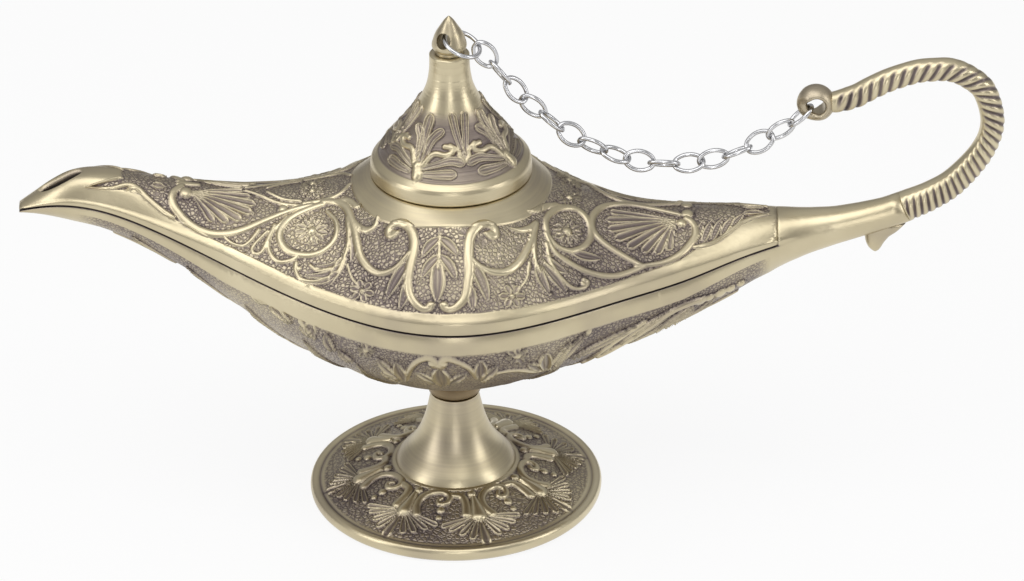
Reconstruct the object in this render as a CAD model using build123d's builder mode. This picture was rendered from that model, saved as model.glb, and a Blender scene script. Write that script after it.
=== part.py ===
from build123d import *
import os
from math import asin, atan, atan2, cos, degrees, hypot, pi, radians, sin

os.makedirs("parts", exist_ok=True)

# Genie oil lamp in cast brass, millimetres.
# Origin: centre of the foot's underside, on the stem's axis.
# +X runs towards the handle, -X towards the spout, +Z is up.

# Body: bowl and cover share one outline, parted along the seam
spout_reach = 89.5
root_reach = 67.5
half_width = 34.9
seam_z = 56.5
bowl_depth = 28.0
crown_rise = 24.0
body_wall = 2.0
cover_band_h = 2.75
cover_bevel = 1.4
bowl_band_h = 3.95
band_full_half_width = 14.0
seam_corner_r = 2.0
cover_end_gap = 0.12
lug_length = 5.0
lug_wall = 1.5
lug_play = 0.7
lug_drop = 1.8
lug_foot = 0.9
lug_top = 2.6
lug_bite = 0.6

# Spout mouth, a leaf-shaped slot in the top of the beak
mouth_length = 9.4
mouth_width = 5.0
mouth_from_tip = 8.6
mouth_floor_rise = 0.9

# Filler opening and its collar
opening_r = 15.0
collar_top_r = 17.0
collar_foot_r = 21.2
collar_top_z = 76.5
collar_drop = 1.9
collar_dip_share = 0.55
collar_depth = 5.0

# Lid
lid_r = 16.8
lid_h = 27.1
lid_band_h = 3.0
lid_band_taper = 0.325
spigot_play = 0.1
spigot_wall = 1.5
spigot_depth = 3.6
neck_r = 4.2
neck_web = 3.0
neck_cavity_r = 2.9

# Finial, and the rivet that it turns on
finial_gap = 0.1
finial_r = 3.6
finial_h = 8.3
finial_edge_h = 0.6
finial_foot_share = 0.82
finial_hole_r = 1.55
finial_hole_rise = 3.7
finial_hole_turn = 25.0
rivet_r = 1.5
rivet_play = 0.05
rivet_head_r = 2.5
rivet_head_h = 1.1

# Handle: arm cast with the bowl, twisted loop let into it
arm_reach = 94.0
arm_z = 66.4
arm_end_ry = 3.2
arm_end_rz = 3.4
arm_slope = 24.0
loop_run = 17.5
loop_rise = 32.1
loop_root_r = 3.3
loop_r = 2.5
loop_taper_share = 0.333
loop_steps = 18
tenon_r = 1.6
tenon_length = 7.0
tenon_play = 0.03
eye_r = 3.97
eye_thick = 2.6
eye_hole_r = 1.85
eye_hole_drop = 0.6
eye_edge_r = 1.2
spur_from_end = 8.4
spur_length = 8.6
spur_drop = 4.2
spur_width = 2.4

# Chain
wire_r = 0.45
link_share = 0.09954
link_width_share = 0.7143
link_crown_share = 0.2214
link_play = 0.05
link_count = 16
link_roll = 66.0
eye_play = 0.3
ring_r = 3.9
ring_dip = 25.0
ring_set = 0.67
chain_guess = (-1.3, 0.13)
chain_nudge = 1e-5
chain_rounds = 12

# Foot, stem and the screw that clamps them to the bowl
foot_r = 30.95
foot_rim_h = 3.1
foot_dome_h = 7.4
foot_wall = 2.2
rest_width = 2.4
foot_roll = 1.0
foot_groove_in = 2.05
foot_slope_in = 3.45
foot_table_r = 13.2
foot_boss_r = 8.0
stem_foot_r = 12.8
stem_spigot_r = 6.5
stem_spigot_h = 1.2
stem_spigot_play = 0.05
stem_top_r = 5.1
stem_top_z = 23.8
neck_boss_r = 5.4
boss_rise = 8.5
screw_r = 2.4
screw_play = 0.3
thread_play = 0.06
screw_head_r = 4.2
screw_head_h = 2.1
screw_head_lift = 0.5
screw_slot_w = 1.0
screw_slot_depth = 1.0
washer_r = 5.6
washer_h = 0.8
pin_r = 0.8
pin_up = 2.4
pin_down = 3.5
pin_from_end = 3.2
overrun = 1.0

# Sections across the body as shares: reach, width, seam, ridge, keel, and the crown's power.
# Seam and keel follow bowl_depth, the ridge above the seam follows crown_rise.
spout_section_shares = (
    (1.000, 0.049, 0.443, 0.042, 0.032, 2.0),
    (0.961, 0.089, 0.489, 0.088, 0.089, 2.4),
    (0.894, 0.143, 0.536, 0.188, 0.179, 2.8),
    (0.804, 0.178, 0.507, 0.267, 0.243, 2.7),
    (0.693, 0.238, 0.396, 0.321, 0.300, 2.0),
    (0.547, 0.378, 0.232, 0.421, 0.454, 1.3),
    (0.402, 0.576, 0.104, 0.538, 0.689, 1.1),
    (0.223, 0.828, 0.018, 0.742, 0.882, 1.6),
)
root_section_shares = (
    (0.000, 1.000, 0.000, 1.000, 1.000, 2.2),
    (0.296, 0.822, -0.011, 0.742, 0.868, 1.6),
    (0.533, 0.547, -0.018, 0.513, 0.682, 1.1),
    (0.726, 0.384, 0.032, 0.396, 0.525, 1.2),
    (0.889, 0.258, 0.121, 0.275, 0.407, 1.7),
    (1.000, 0.178, 0.168, 0.208, 0.289, 2.2),
)
crown_step_shares = (1.0, 0.8, 0.55, 0.27, 0.0, -0.27, -0.55, -0.8, -1.0)
keel_power_share = 1.6
keel_steps = 8


def body_section(shares, reach):
    """Place and sizes of one section: x, half width, seam, ridge, keel, crown power."""
    along, width, seam, ridge, keel, power = shares
    seam_at = seam_z + seam * bowl_depth
    return (
        along * reach,
        width * half_width,
        seam_at,
        seam_at + ridge * crown_rise,
        seam_at - keel * bowl_depth,
        power,
    )


sections = [body_section(row, -spout_reach) for row in spout_section_shares]
sections += [body_section(row, root_reach) for row in root_section_shares]
hollow_sections = sections[2:-1]
lug_rows = [sections[k - 1 : k + 2] for k in (6, 7, 9, 10)]


def crown_points(half, foot_at, top_at, power):
    """Points over the top of a section, from one side to the other."""
    rise = top_at - foot_at
    return [(half * s, foot_at + rise * (1 - abs(s) ** power)) for s in crown_step_shares]


def keel_points(half, top_at, bottom_at):
    """Points under a section, from the far side back to the near one."""
    depth = top_at - bottom_at
    turns = [pi * i / keel_steps for i in range(keel_steps + 1)]
    return [(-half * cos(t), top_at - depth * abs(sin(t)) ** keel_power_share) for t in turns]


def outer_hull():
    """The body's whole outside, with the smooth bands above and below the seam."""
    with BuildPart() as hull:
        for x, half, seam, ridge, keel, power in sections:
            fade = min(1.0, half / band_full_half_width)
            bevel = cover_bevel * fade
            strip_at = seam + cover_band_h * fade
            band_at = seam - bowl_band_h * fade
            with BuildSketch(Plane.YZ.offset(x)):
                with BuildLine():
                    Spline(*crown_points(half - bevel, strip_at + bevel, ridge, power))
                    Polyline(
                        (bevel - half, strip_at + bevel), (-half, strip_at), (-half, band_at)
                    )
                    Spline(*keel_points(half, band_at, keel))
                    Polyline((half, band_at), (half, strip_at), (half - bevel, strip_at + bevel))
                make_face()
        loft()
    return hull.part


def hollow_hull(inset):
    """The space inside the body, this far in from its outside."""
    with BuildPart() as hollow:
        for x, half, seam, ridge, keel, power in hollow_sections:
            inner = half - inset
            with BuildSketch(Plane.YZ.offset(x)):
                with BuildLine():
                    Spline(*crown_points(inner, seam, ridge - inset, power))
                    Spline(*keel_points(inner, seam, keel + inset))
                make_face()
        loft()
    return hollow.part


def seam_points(shift):
    """The seam seen from the front, moved up by shift."""
    return [(x, seam + shift) for x, _, seam, _, _, _ in sections]


def above_seam(end_x):
    """Everything above the seam, as far as end_x on the handle side."""
    points = seam_points(0)[:-1]
    last_x, last_z = seam_points(0)[-1]
    corner = (end_x, last_z + seam_corner_r / 2)
    top = seam_z + 2 * crown_rise
    with BuildPart() as zone:
        with BuildSketch(Plane.XZ):
            with BuildLine():
                seam_line = Spline(*points, (end_x - seam_corner_r, last_z))
                TangentArc(seam_line @ 1, corner, tangent=seam_line % 1)
                Polyline(corner, (end_x, top), (points[0][0] - overrun, top))
                Polyline(
                    (points[0][0] - overrun, top),
                    (points[0][0] - overrun, points[0][1]),
                    points[0],
                )
            make_face()
        extrude(amount=half_width + overrun, both=True)
    return zone.part


hull = outer_hull()
hollow = hollow_hull(body_wall)
bowl_cut = above_seam(root_reach)
cover_cut = above_seam(root_reach - cover_end_gap)

# Path of the handle's loop, in the plane of symmetry, as shares of its run and rise
loop_shares = (
    (0.000, 0.000),
    (0.309, 0.093),
    (0.589, 0.202),
    (0.891, 0.414),
    (1.000, 0.620),
    (0.897, 0.841),
    (0.697, 0.947),
    (0.400, 1.000),
    (0.114, 0.991),
    (-0.171, 0.941),
    (-0.446, 0.869),
    (-0.789, 0.773),
    (-1.000, 0.775),
)
eye_share = (-1.080, 0.785)

# Thumb spur's outline, down its outer edge and up its inner one, as shares of length and drop
spur_outer_shares = ((0.00, 0.00), (0.03, -0.90), (0.25, -1.40))
spur_inner_shares = ((0.25, -1.40), (0.42, -1.25), (0.65, -0.60), (1.00, 0.50))

# Arm sections: place along the arm, height above its end, half width and half height
arm_section_shares = (
    (-0.057, -0.254, 1.91, 1.94),
    (0.000, -0.252, 1.92, 1.91),
    (0.113, -0.220, 1.69, 1.68),
    (0.245, -0.190, 1.44, 1.44),
    (0.434, -0.152, 1.23, 1.21),
    (0.660, -0.093, 1.09, 1.06),
)

# Profiles turned about the stem's axis, as shares of a radius and a height
lid_cone_shares = (
    (0.905, 0.166),
    (0.804, 0.240),
    (0.720, 0.314),
    (0.625, 0.387),
    (0.533, 0.461),
    (0.452, 0.535),
    (0.381, 0.609),
    (0.321, 0.683),
    (0.280, 0.757),
    (0.254, 0.850),
)
lid_hollow_shares = ((0.78, 0.150), (0.60, 0.300), (0.43, 0.450), (0.29, 0.600))
finial_shares = (
    (1.000, 0.195),
    (0.930, 0.350),
    (0.780, 0.530),
    (0.530, 0.710),
    (0.260, 0.890),
)
stem_shares = ((0.960, 0.060), (0.765, 0.240), (0.585, 0.470), (0.475, 0.720))


def at_share(point, run, rise, from_x=0.0, from_z=0.0):
    """A profile point from its shares of a run and a rise."""
    return (from_x + point[0] * run, from_z + point[1] * rise)


# Bowl: lower casting, with the arm, the thumb spur and the neck that the stem screws to
arm_length = arm_reach - root_reach
loop_start = (arm_reach, arm_z)
with BuildLine(Plane.XZ) as loop_path:
    Spline(
        *[at_share(p, loop_run, loop_rise, *loop_start) for p in loop_shares],
        tangents=((cos(radians(arm_slope)), sin(radians(arm_slope))), (-1, 0)),
    )
loop_line = loop_path.line
arm_end = Plane(loop_line @ 0, x_dir=(0, 1, 0), z_dir=loop_line % 0)
neck_foot_z = stem_top_z
keel_z = seam_z - bowl_depth

with BuildPart() as arm:
    for along, rise, wide, tall in arm_section_shares:
        at_x = root_reach + along * arm_length
        with BuildSketch(Plane.YZ.offset(at_x)):
            with Locations((0, arm_z + rise * arm_length)):
                Ellipse(wide * arm_end_ry, tall * arm_end_rz)
    with BuildSketch(arm_end):
        Ellipse(arm_end_ry, arm_end_rz)
    loft()

spur_x = arm_reach - spur_from_end
spur_z = arm_z - arm_end_rz
with BuildPart() as spur:
    with BuildSketch(Plane.XZ):
        with BuildLine():
            spur_place = (spur_length, spur_drop, spur_x, spur_z)
            outer = Spline(*[at_share(p, *spur_place) for p in spur_outer_shares])
            inner = Spline(*[at_share(p, *spur_place) for p in spur_inner_shares])
            Line(inner @ 1, outer @ 0)
        make_face()
    extrude(amount=spur_width / 2, both=True)

with BuildPart() as bowl:
    add(hull)
    add(arm.part)
    add(spur.part)
    add(bowl_cut, mode=Mode.SUBTRACT)
    add(hollow, mode=Mode.SUBTRACT)
    with BuildSketch(Plane.XY.offset(neck_foot_z)):
        Circle(neck_boss_r)
    extrude(amount=keel_z + boss_rise - neck_foot_z)
    with BuildSketch(Plane.XY.offset(neck_foot_z)):
        Circle(screw_r + thread_play)
    extrude(amount=keel_z + boss_rise - neck_foot_z - body_wall, mode=Mode.SUBTRACT)
    with BuildSketch(arm_end):
        Circle(tenon_r + tenon_play)
    extrude(amount=-tenon_length - tenon_play, mode=Mode.SUBTRACT)
    end_x, _, end_seam, _, _, _ = sections[-1]
    with BuildSketch(Plane.XY.offset(end_seam - pin_down)):
        with Locations((end_x - pin_from_end, 0)):
            Circle(pin_r)
    extrude(amount=pin_down + pin_up, mode=Mode.SUBTRACT)
bowl.part.label = "bowl"
export_step(bowl.part, "parts/bowl.step")


# Locating pin, let into the bowl and the cover at the handle end
with BuildPart() as locating_pin:
    with BuildSketch(Plane.XY.offset(end_seam - pin_down)):
        with Locations((end_x - pin_from_end, 0)):
            Circle(pin_r)
    extrude(amount=pin_down + pin_up)
locating_pin.part.label = "locating_pin"
export_step(locating_pin.part, "parts/locating_pin.step")


# Cover: upper casting, with the spout's mouth, the filler's collar and the locating lugs
with BuildPart() as lugs:
    for before, place, after in lug_rows:
        x, half, seam = place[:3]
        way = (after[0] - before[0], after[1] - before[1], 0)
        inner_face = Plane((x, half - body_wall, seam), x_dir=way, z_dir=(0, 0, 1))
        with Locations(inner_face.offset(-lug_drop)):
            with Locations((0, -lug_play)):
                Box(
                    lug_length,
                    lug_wall,
                    lug_drop + lug_top,
                    align=(Align.CENTER, Align.MAX, Align.MIN),
                )
        with Locations(inner_face.offset(lug_foot)):
            with Locations((0, lug_bite)):
                Box(
                    lug_length,
                    lug_bite + lug_play + lug_wall / 2,
                    lug_top - lug_foot,
                    align=(Align.CENTER, Align.MAX, Align.MIN),
                )
    mirror(about=Plane.XZ)

mouth_x = mouth_from_tip - spout_reach
mouth_floor_z = sections[2][2] + mouth_floor_rise
with BuildPart() as cover:
    add(hull)
    with BuildSketch(Plane.XZ):
        with BuildLine():
            Polyline(
                (0, collar_top_z - collar_depth),
                (0, collar_top_z),
                (collar_top_r, collar_top_z),
            )
            Spline(
                (collar_top_r, collar_top_z),
                (
                    (collar_top_r + collar_foot_r) / 2,
                    collar_top_z - collar_dip_share * collar_drop,
                ),
                (collar_foot_r, collar_top_z - collar_drop),
            )
            Polyline(
                (collar_foot_r, collar_top_z - collar_drop),
                (collar_top_r, collar_top_z - collar_depth),
                (0, collar_top_z - collar_depth),
            )
        make_face()
    revolve(axis=Axis.Z)
    with BuildSketch(Plane.XY.offset(collar_top_z)):
        Circle(collar_top_r)
    extrude(amount=crown_rise, mode=Mode.SUBTRACT)
    add(cover_cut, mode=Mode.INTERSECT)
    add(hollow, mode=Mode.SUBTRACT)
    add(lugs.part)
    with BuildSketch(Plane.XY.offset(seam_z)):
        Circle(opening_r)
    extrude(amount=2 * crown_rise, mode=Mode.SUBTRACT)
    with BuildSketch(Plane.XY.offset(mouth_floor_z)):
        with Locations((mouth_x, 0)):
            Ellipse(mouth_length / 2, mouth_width / 2)
    extrude(amount=crown_rise, mode=Mode.SUBTRACT)
    with BuildSketch(Plane.XY.offset(end_seam - pin_down)):
        with Locations((end_x - pin_from_end, 0)):
            Circle(pin_r)
    extrude(amount=pin_down + pin_up, mode=Mode.SUBTRACT)
cover.part.label = "cover"
export_step(cover.part, "parts/cover.step")


# Lid: turned and cast dome with a spigot in the filler opening and a bored neck
neck_top_z = collar_top_z + lid_h
neck_roof_z = neck_top_z - neck_web
spigot_r = opening_r - spigot_play
spigot_bore_r = spigot_r - spigot_wall
with BuildPart() as lid:
    with BuildSketch(Plane.XZ):
        with BuildLine():
            cone = [at_share(p, lid_r, lid_h, 0, collar_top_z) for p in lid_cone_shares]
            band_top = (lid_r - lid_band_taper, collar_top_z + lid_band_h)
            Polyline((spigot_r, collar_top_z), (lid_r, collar_top_z), band_top)
            Spline(band_top, *cone)
            Polyline(cone[-1], (neck_r, neck_top_z), (rivet_r + rivet_play, neck_top_z))
            Polyline(
                (rivet_r + rivet_play, neck_top_z),
                (rivet_r + rivet_play, neck_roof_z),
                (neck_cavity_r, neck_roof_z),
            )
            hollow_line = [
                at_share(p, lid_r, lid_h, 0, collar_top_z) for p in reversed(lid_hollow_shares)
            ]
            Spline((neck_cavity_r, neck_roof_z), *hollow_line)
            Polyline(
                hollow_line[-1],
                (spigot_bore_r, collar_top_z),
                (spigot_bore_r, collar_top_z - spigot_depth),
                (spigot_r, collar_top_z - spigot_depth),
                (spigot_r, collar_top_z),
            )
        make_face()
    revolve(axis=Axis.Z)
lid.part.label = "lid"
export_step(lid.part, "parts/lid.step")


# Finial: pointed cap with a cross hole, on the rivet that the lid turns about
finial_foot_z = neck_top_z + finial_gap
hole_z = finial_foot_z + finial_hole_rise
finial_foot_r = finial_r * finial_foot_share
finial_edge_z = finial_foot_z + finial_edge_h
rivet_top_z = hole_z - finial_hole_r - finial_gap
with BuildPart() as finial:
    with BuildSketch(Plane.XZ):
        with BuildLine():
            outline = [at_share(p, finial_r, finial_h, 0, finial_foot_z) for p in finial_shares]
            tip_point = (0, finial_foot_z + finial_h)
            Polyline((0, finial_foot_z), (finial_foot_r, finial_foot_z))
            Line((finial_foot_r, finial_foot_z), (finial_foot_r, finial_edge_z))
            Spline((finial_foot_r, finial_edge_z), *outline, tip_point)
            Line(tip_point, (0, finial_foot_z))
        make_face()
    revolve(axis=Axis.Z)
    hole_line = Plane(
        origin=(0, 0, hole_z),
        x_dir=(0, 0, 1),
        z_dir=(sin(radians(finial_hole_turn)), cos(radians(finial_hole_turn)), 0),
    )
    with BuildSketch(hole_line):
        Circle(finial_hole_r)
    extrude(amount=2 * finial_r, both=True, mode=Mode.SUBTRACT)
    with BuildSketch(Plane.XY.offset(finial_foot_z)):
        Circle(rivet_r)
    extrude(amount=rivet_top_z - finial_foot_z, mode=Mode.SUBTRACT)
finial.part.label = "finial"
export_step(finial.part, "parts/finial.step")


with BuildPart() as finial_rivet:
    with BuildSketch(Plane.XY.offset(neck_roof_z - rivet_play - rivet_head_h)):
        Circle(rivet_head_r)
    extrude(amount=rivet_head_h)
    with BuildSketch(Plane.XY.offset(neck_roof_z - rivet_play)):
        Circle(rivet_r)
    extrude(amount=rivet_top_z - neck_roof_z + rivet_play)
finial_rivet.part.label = "finial_rivet"
export_step(finial_rivet.part, "parts/finial_rivet.step")


# Handle: twisted loop with a tenon in the arm and a flattened, drilled eye
eye_x, eye_z = at_share(eye_share, loop_run, loop_rise, *loop_start)
eye_hole_x, eye_hole_z = eye_x, eye_z - eye_hole_drop
with BuildPart() as eye:
    with Locations((eye_x, 0, eye_z)):
        Sphere(eye_r)
        Box(3 * eye_r, eye_thick, 3 * eye_r, mode=Mode.INTERSECT)

with BuildPart() as handle:
    for i in range(loop_steps + 1):
        along = i / loop_steps
        thin = min(1.0, along / loop_taper_share)
        with BuildSketch(Plane(loop_line @ along, x_dir=(0, 1, 0), z_dir=loop_line % along)):
            Circle(loop_root_r + (loop_r - loop_root_r) * thin)
    loft()
    with BuildSketch(arm_end):
        Circle(tenon_r)
    extrude(amount=-tenon_length)
    add(eye.part)
    with BuildSketch(Plane((eye_hole_x, 0, eye_hole_z))):
        with BuildLine():
            flare_r = eye_hole_r + eye_edge_r
            face_y = eye_thick / 2
            throat_y = face_y - eye_edge_r
            Polyline((flare_r, -face_y), (flare_r, -eye_r), (0, -eye_r))
            Polyline((0, -eye_r), (0, eye_r), (flare_r, eye_r), (flare_r, face_y))
            CenterArc((flare_r, throat_y), eye_edge_r, 90, 90)
            Line((eye_hole_r, throat_y), (eye_hole_r, -throat_y))
            CenterArc((flare_r, -throat_y), eye_edge_r, 180, 90)
        make_face()
    revolve(axis=Axis((eye_hole_x, 0, eye_hole_z), (0, 1, 0)), mode=Mode.SUBTRACT)
handle.part.label = "handle"
export_step(handle.part, "parts/handle.step")


# Ring through the finial: it leans towards the handle and dips below the hole
hole_way = (sin(radians(finial_hole_turn)), cos(radians(finial_hole_turn)), 0)
ring_way = (
    cos(radians(finial_hole_turn)) * cos(radians(ring_dip)),
    -sin(radians(finial_hole_turn)) * cos(radians(ring_dip)),
    -sin(radians(ring_dip)),
)
ring_off = ring_r - ring_set
ring_x, ring_y, ring_z = [
    start + ring_off * way for start, way in zip((0, 0, hole_z), ring_way)
]
ring_across = Vector(ring_way).cross(Vector(hole_way))
ring_plane = Plane((ring_x, ring_y, ring_z), x_dir=ring_way, z_dir=ring_across)
with BuildPart() as finial_ring:
    with Locations(ring_plane):
        Torus(ring_r, wire_r)
finial_ring.part.label = "finial_ring"
export_step(finial_ring.part, "parts/finial_ring.step")

# Place on the ring where the chain hooks it, in the plane of symmetry
hook_lean = atan2(-ring_way[1], hole_way[1])
hook_turn = hook_lean + asin(-ring_y / (ring_r * hypot(ring_way[1], hole_way[1])))
hook_x = ring_x + ring_r * (cos(hook_turn) * ring_way[0] + sin(hook_turn) * hole_way[0])
hook_z = ring_z + ring_r * cos(hook_turn) * ring_way[2]


# Chain: equal links hang in the plane of symmetry, each slope a fixed step from the last
hang = hypot(eye_hole_x - hook_x, eye_hole_z - hook_z)
link_length = link_share * hang
link_width = link_width_share * link_length
link_crown_r = link_crown_share * link_length
pitch = link_length - 4 * wire_r - link_play
nip = wire_r + link_play / 2
eye_nip = eye_hole_r - wire_r - eye_play + nip


def chain_turns(first, step):
    """Angle of every link below or above level, for a first slope and a step."""
    return [atan(first + step * i) for i in range(link_count)]


def chain_miss(first, step):
    """How far the chain's end is from the handle's eye, in x and z."""
    turns = chain_turns(first, step)
    run = -nip * cos(turns[0]) + pitch * sum(cos(t) for t in turns) + eye_nip * cos(turns[-1])
    rise = -nip * sin(turns[0]) + pitch * sum(sin(t) for t in turns) + eye_nip * sin(turns[-1])
    return hook_x + run - eye_hole_x, hook_z + rise - eye_hole_z


chain_first, chain_step = chain_guess
for _ in range(chain_rounds):
    miss_x, miss_z = chain_miss(chain_first, chain_step)
    first_x, first_z = chain_miss(chain_first + chain_nudge, chain_step)
    step_x, step_z = chain_miss(chain_first, chain_step + chain_nudge)
    xf = (first_x - miss_x) / chain_nudge
    zf = (first_z - miss_z) / chain_nudge
    xs = (step_x - miss_x) / chain_nudge
    zs = (step_z - miss_z) / chain_nudge
    shrink = 1 / (xf * zs - xs * zf)
    chain_first -= shrink * (zs * miss_x - xs * miss_z)
    chain_step -= shrink * (xf * miss_z - zf * miss_x)

turns = chain_turns(chain_first, chain_step)
joint_x = hook_x - nip * cos(turns[0])
joint_z = hook_z - nip * sin(turns[0])
half_long = link_length / 2 - wire_r
half_wide = link_width / 2 - wire_r
crown_off = half_long - link_crown_r
side_off = (crown_off**2 - (half_wide - link_crown_r) ** 2) / (2 * (half_wide - link_crown_r))
crown_turn = degrees(atan2(side_off, crown_off))
for i, turn in enumerate(turns):
    middle = (joint_x + cos(turn) * pitch / 2, 0, joint_z + sin(turn) * pitch / 2)
    roll = radians(link_roll * (link_count - 1 - i))
    link_across = (-sin(turn) * cos(roll), sin(roll), cos(turn) * cos(roll))
    link_plane = Plane(middle, x_dir=(cos(turn), 0, sin(turn)), z_dir=link_across)
    with BuildPart() as link:
        with BuildLine(link_plane) as oval:
            right = CenterArc((crown_off, 0), link_crown_r, -crown_turn, 2 * crown_turn)
            left = CenterArc((-crown_off, 0), link_crown_r, 180 - crown_turn, 2 * crown_turn)
            RadiusArc(right @ 1, left @ 0, -side_off - half_wide)
            RadiusArc(left @ 1, right @ 0, -side_off - half_wide)
        with BuildSketch(Plane(oval.line @ 0, z_dir=oval.line % 0)):
            Circle(wire_r)
        sweep(path=oval.line)
    link.part.label = f"link_{i + 1:02d}"
    export_step(link.part, f"parts/link_{i + 1:02d}.step")
    joint_x += cos(turn) * pitch
    joint_z += sin(turn) * pitch


# Stem: flared column between the foot and the bowl, bored for the clamp screw
bore_r = screw_r + screw_play
with BuildPart() as stem:
    with BuildSketch(Plane.XZ):
        with BuildLine():
            stem_h = stem_top_z - foot_dome_h
            flare = [at_share(p, stem_foot_r, stem_h, 0, foot_dome_h) for p in stem_shares]
            Polyline(
                (bore_r, foot_dome_h - stem_spigot_h),
                (stem_spigot_r, foot_dome_h - stem_spigot_h),
                (stem_spigot_r, foot_dome_h),
                (stem_foot_r, foot_dome_h),
            )
            Spline((stem_foot_r, foot_dome_h), *flare, (stem_top_r, stem_top_z))
            Polyline(
                (stem_top_r, stem_top_z),
                (bore_r, stem_top_z),
                (bore_r, foot_dome_h - stem_spigot_h),
            )
        make_face()
    revolve(axis=Axis.Z)
stem.part.label = "stem"
export_step(stem.part, "parts/stem.step")


# Foot: hollow dished disc with a rolled rim, a rest ring and a boss for the washer
washer_top_z = screw_head_lift + screw_head_h + washer_h
rest_r = foot_r - foot_roll
with BuildPart() as foot:
    with BuildSketch(Plane.XZ):
        with BuildLine():
            recess_z = foot_dome_h - stem_spigot_h - stem_spigot_play
            recess_r = stem_spigot_r + stem_spigot_play
            roof_z = foot_dome_h - foot_wall
            eave_z = foot_rim_h - foot_wall / 2
            Polyline(
                (foot_table_r, foot_dome_h),
                (recess_r, foot_dome_h),
                (recess_r, recess_z),
                (bore_r, recess_z),
                (bore_r, washer_top_z),
                (foot_boss_r, washer_top_z),
                (foot_boss_r, roof_z),
                (foot_table_r, roof_z),
                (rest_r - rest_width, eave_z),
                (rest_r - rest_width, 0),
                (rest_r, 0),
            )
            ThreePointArc((rest_r, 0), (foot_r, foot_rim_h / 2), (rest_r, foot_rim_h))
            groove = (foot_r - foot_groove_in, foot_rim_h - foot_roll / 3)
            Polyline(
                (rest_r, foot_rim_h),
                groove,
                (foot_r - foot_slope_in, foot_rim_h + foot_roll / 4),
                (foot_table_r, foot_dome_h),
            )
        make_face()
    revolve(axis=Axis.Z)
foot.part.label = "foot"
export_step(foot.part, "parts/foot.step")


# Clamp screw and washer under the foot
screw_tip_z = keel_z + boss_rise - body_wall - overrun
with BuildPart() as clamp_screw:
    with BuildSketch(Plane.XY.offset(screw_head_lift)):
        Circle(screw_head_r)
    extrude(amount=screw_head_h)
    with BuildSketch(Plane.XY.offset(screw_head_lift + screw_head_h)):
        Circle(screw_r)
    extrude(amount=screw_tip_z - screw_head_lift - screw_head_h)
    with BuildSketch(Plane.XY.offset(screw_head_lift)):
        Rectangle(3 * screw_head_r, screw_slot_w)
    extrude(amount=screw_slot_depth, mode=Mode.SUBTRACT)
clamp_screw.part.label = "clamp_screw"
export_step(clamp_screw.part, "parts/clamp_screw.step")

with BuildPart() as clamp_washer:
    with BuildSketch(Plane.XY.offset(washer_top_z - washer_h)):
        Circle(washer_r)
        Circle(bore_r, mode=Mode.SUBTRACT)
    extrude(amount=washer_h)
clamp_washer.part.label = "clamp_washer"
export_step(clamp_washer.part, "parts/clamp_washer.step")
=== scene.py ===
import math

import bmesh
import bpy
import numpy as np
from mathutils import Matrix, Vector
from mathutils.kdtree import KDTree


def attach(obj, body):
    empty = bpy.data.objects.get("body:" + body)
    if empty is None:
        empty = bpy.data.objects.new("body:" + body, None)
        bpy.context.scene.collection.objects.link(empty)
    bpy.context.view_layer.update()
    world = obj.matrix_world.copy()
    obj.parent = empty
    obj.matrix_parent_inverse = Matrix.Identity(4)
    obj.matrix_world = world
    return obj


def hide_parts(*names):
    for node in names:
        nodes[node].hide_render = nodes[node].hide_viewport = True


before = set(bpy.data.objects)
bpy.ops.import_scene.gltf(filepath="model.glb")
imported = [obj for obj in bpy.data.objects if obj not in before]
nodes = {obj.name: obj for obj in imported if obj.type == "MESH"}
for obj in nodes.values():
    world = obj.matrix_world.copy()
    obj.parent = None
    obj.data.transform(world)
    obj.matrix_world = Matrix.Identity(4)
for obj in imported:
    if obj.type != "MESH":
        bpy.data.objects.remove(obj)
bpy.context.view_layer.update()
MM = 0.001

# Camera: a long lens a little above the lamp, square on to its length, as in the photograph.
# The lens is centred, so the same numbers also tell which point of a casting the lens sees
# at a place in the picture.
picture_wide, picture_high, pixels_per_mm, film_wide = 1024.0, 581.0, 4.785, 36.0
pitch, distance, roll = math.radians(29.12), 1200.0, math.radians(-0.586)
target = np.array([12.30, 0.0, 47.77])
x_way = np.array([1.0, 0.0, 0.0])
back = np.array([0.0, -math.cos(pitch), math.sin(pitch)])
level_up = np.array([0.0, math.sin(pitch), math.cos(pitch)])
right = x_way * math.cos(roll) + level_up * math.sin(roll)
up = level_up * math.cos(roll) - x_way * math.sin(roll)
eye_point = target + back * distance
picture_scale = pixels_per_mm * distance
lens = bpy.data.cameras.new("lens")
lens.sensor_width = film_wide
lens.lens = film_wide * picture_scale / picture_wide
lens.clip_start, lens.clip_end = 0.05, 20.0
camera = bpy.data.objects.new("camera", lens)
bpy.context.scene.collection.objects.link(camera)
turn = Matrix([(right[i], up[i], back[i]) for i in range(3)]).to_4x4()
turn.translation = Vector(eye_point * MM)
camera.matrix_world = turn
bpy.context.scene.camera = camera


def seen_at(points):
    """Where the lens shows these points, in the picture's own columns and rows."""
    away = points - eye_point
    deep = -(away @ back)
    across = picture_wide / 2 + picture_scale * (away @ right) / deep
    down = picture_high / 2 - picture_scale * (away @ up) / deep
    return np.stack([across, down], -1)


def add_node(tree, kind, inputs=None, **options):
    """A new shader node: its options, and its inputs as values or as the sockets that feed them."""
    made = tree.nodes.new("ShaderNode" + kind)
    for key, value in options.items():
        setattr(made, key, value)
    for key, value in (inputs or {}).items():
        if isinstance(value, bpy.types.NodeSocket):
            tree.links.new(value, made.inputs[key])
        else:
            made.inputs[key].default_value = value
    return made


def reckoned(tree, operation, *terms):
    """The result of a sum in a shader."""
    return add_node(tree, "Math", dict(enumerate(terms)), operation=operation).outputs[0]


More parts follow.
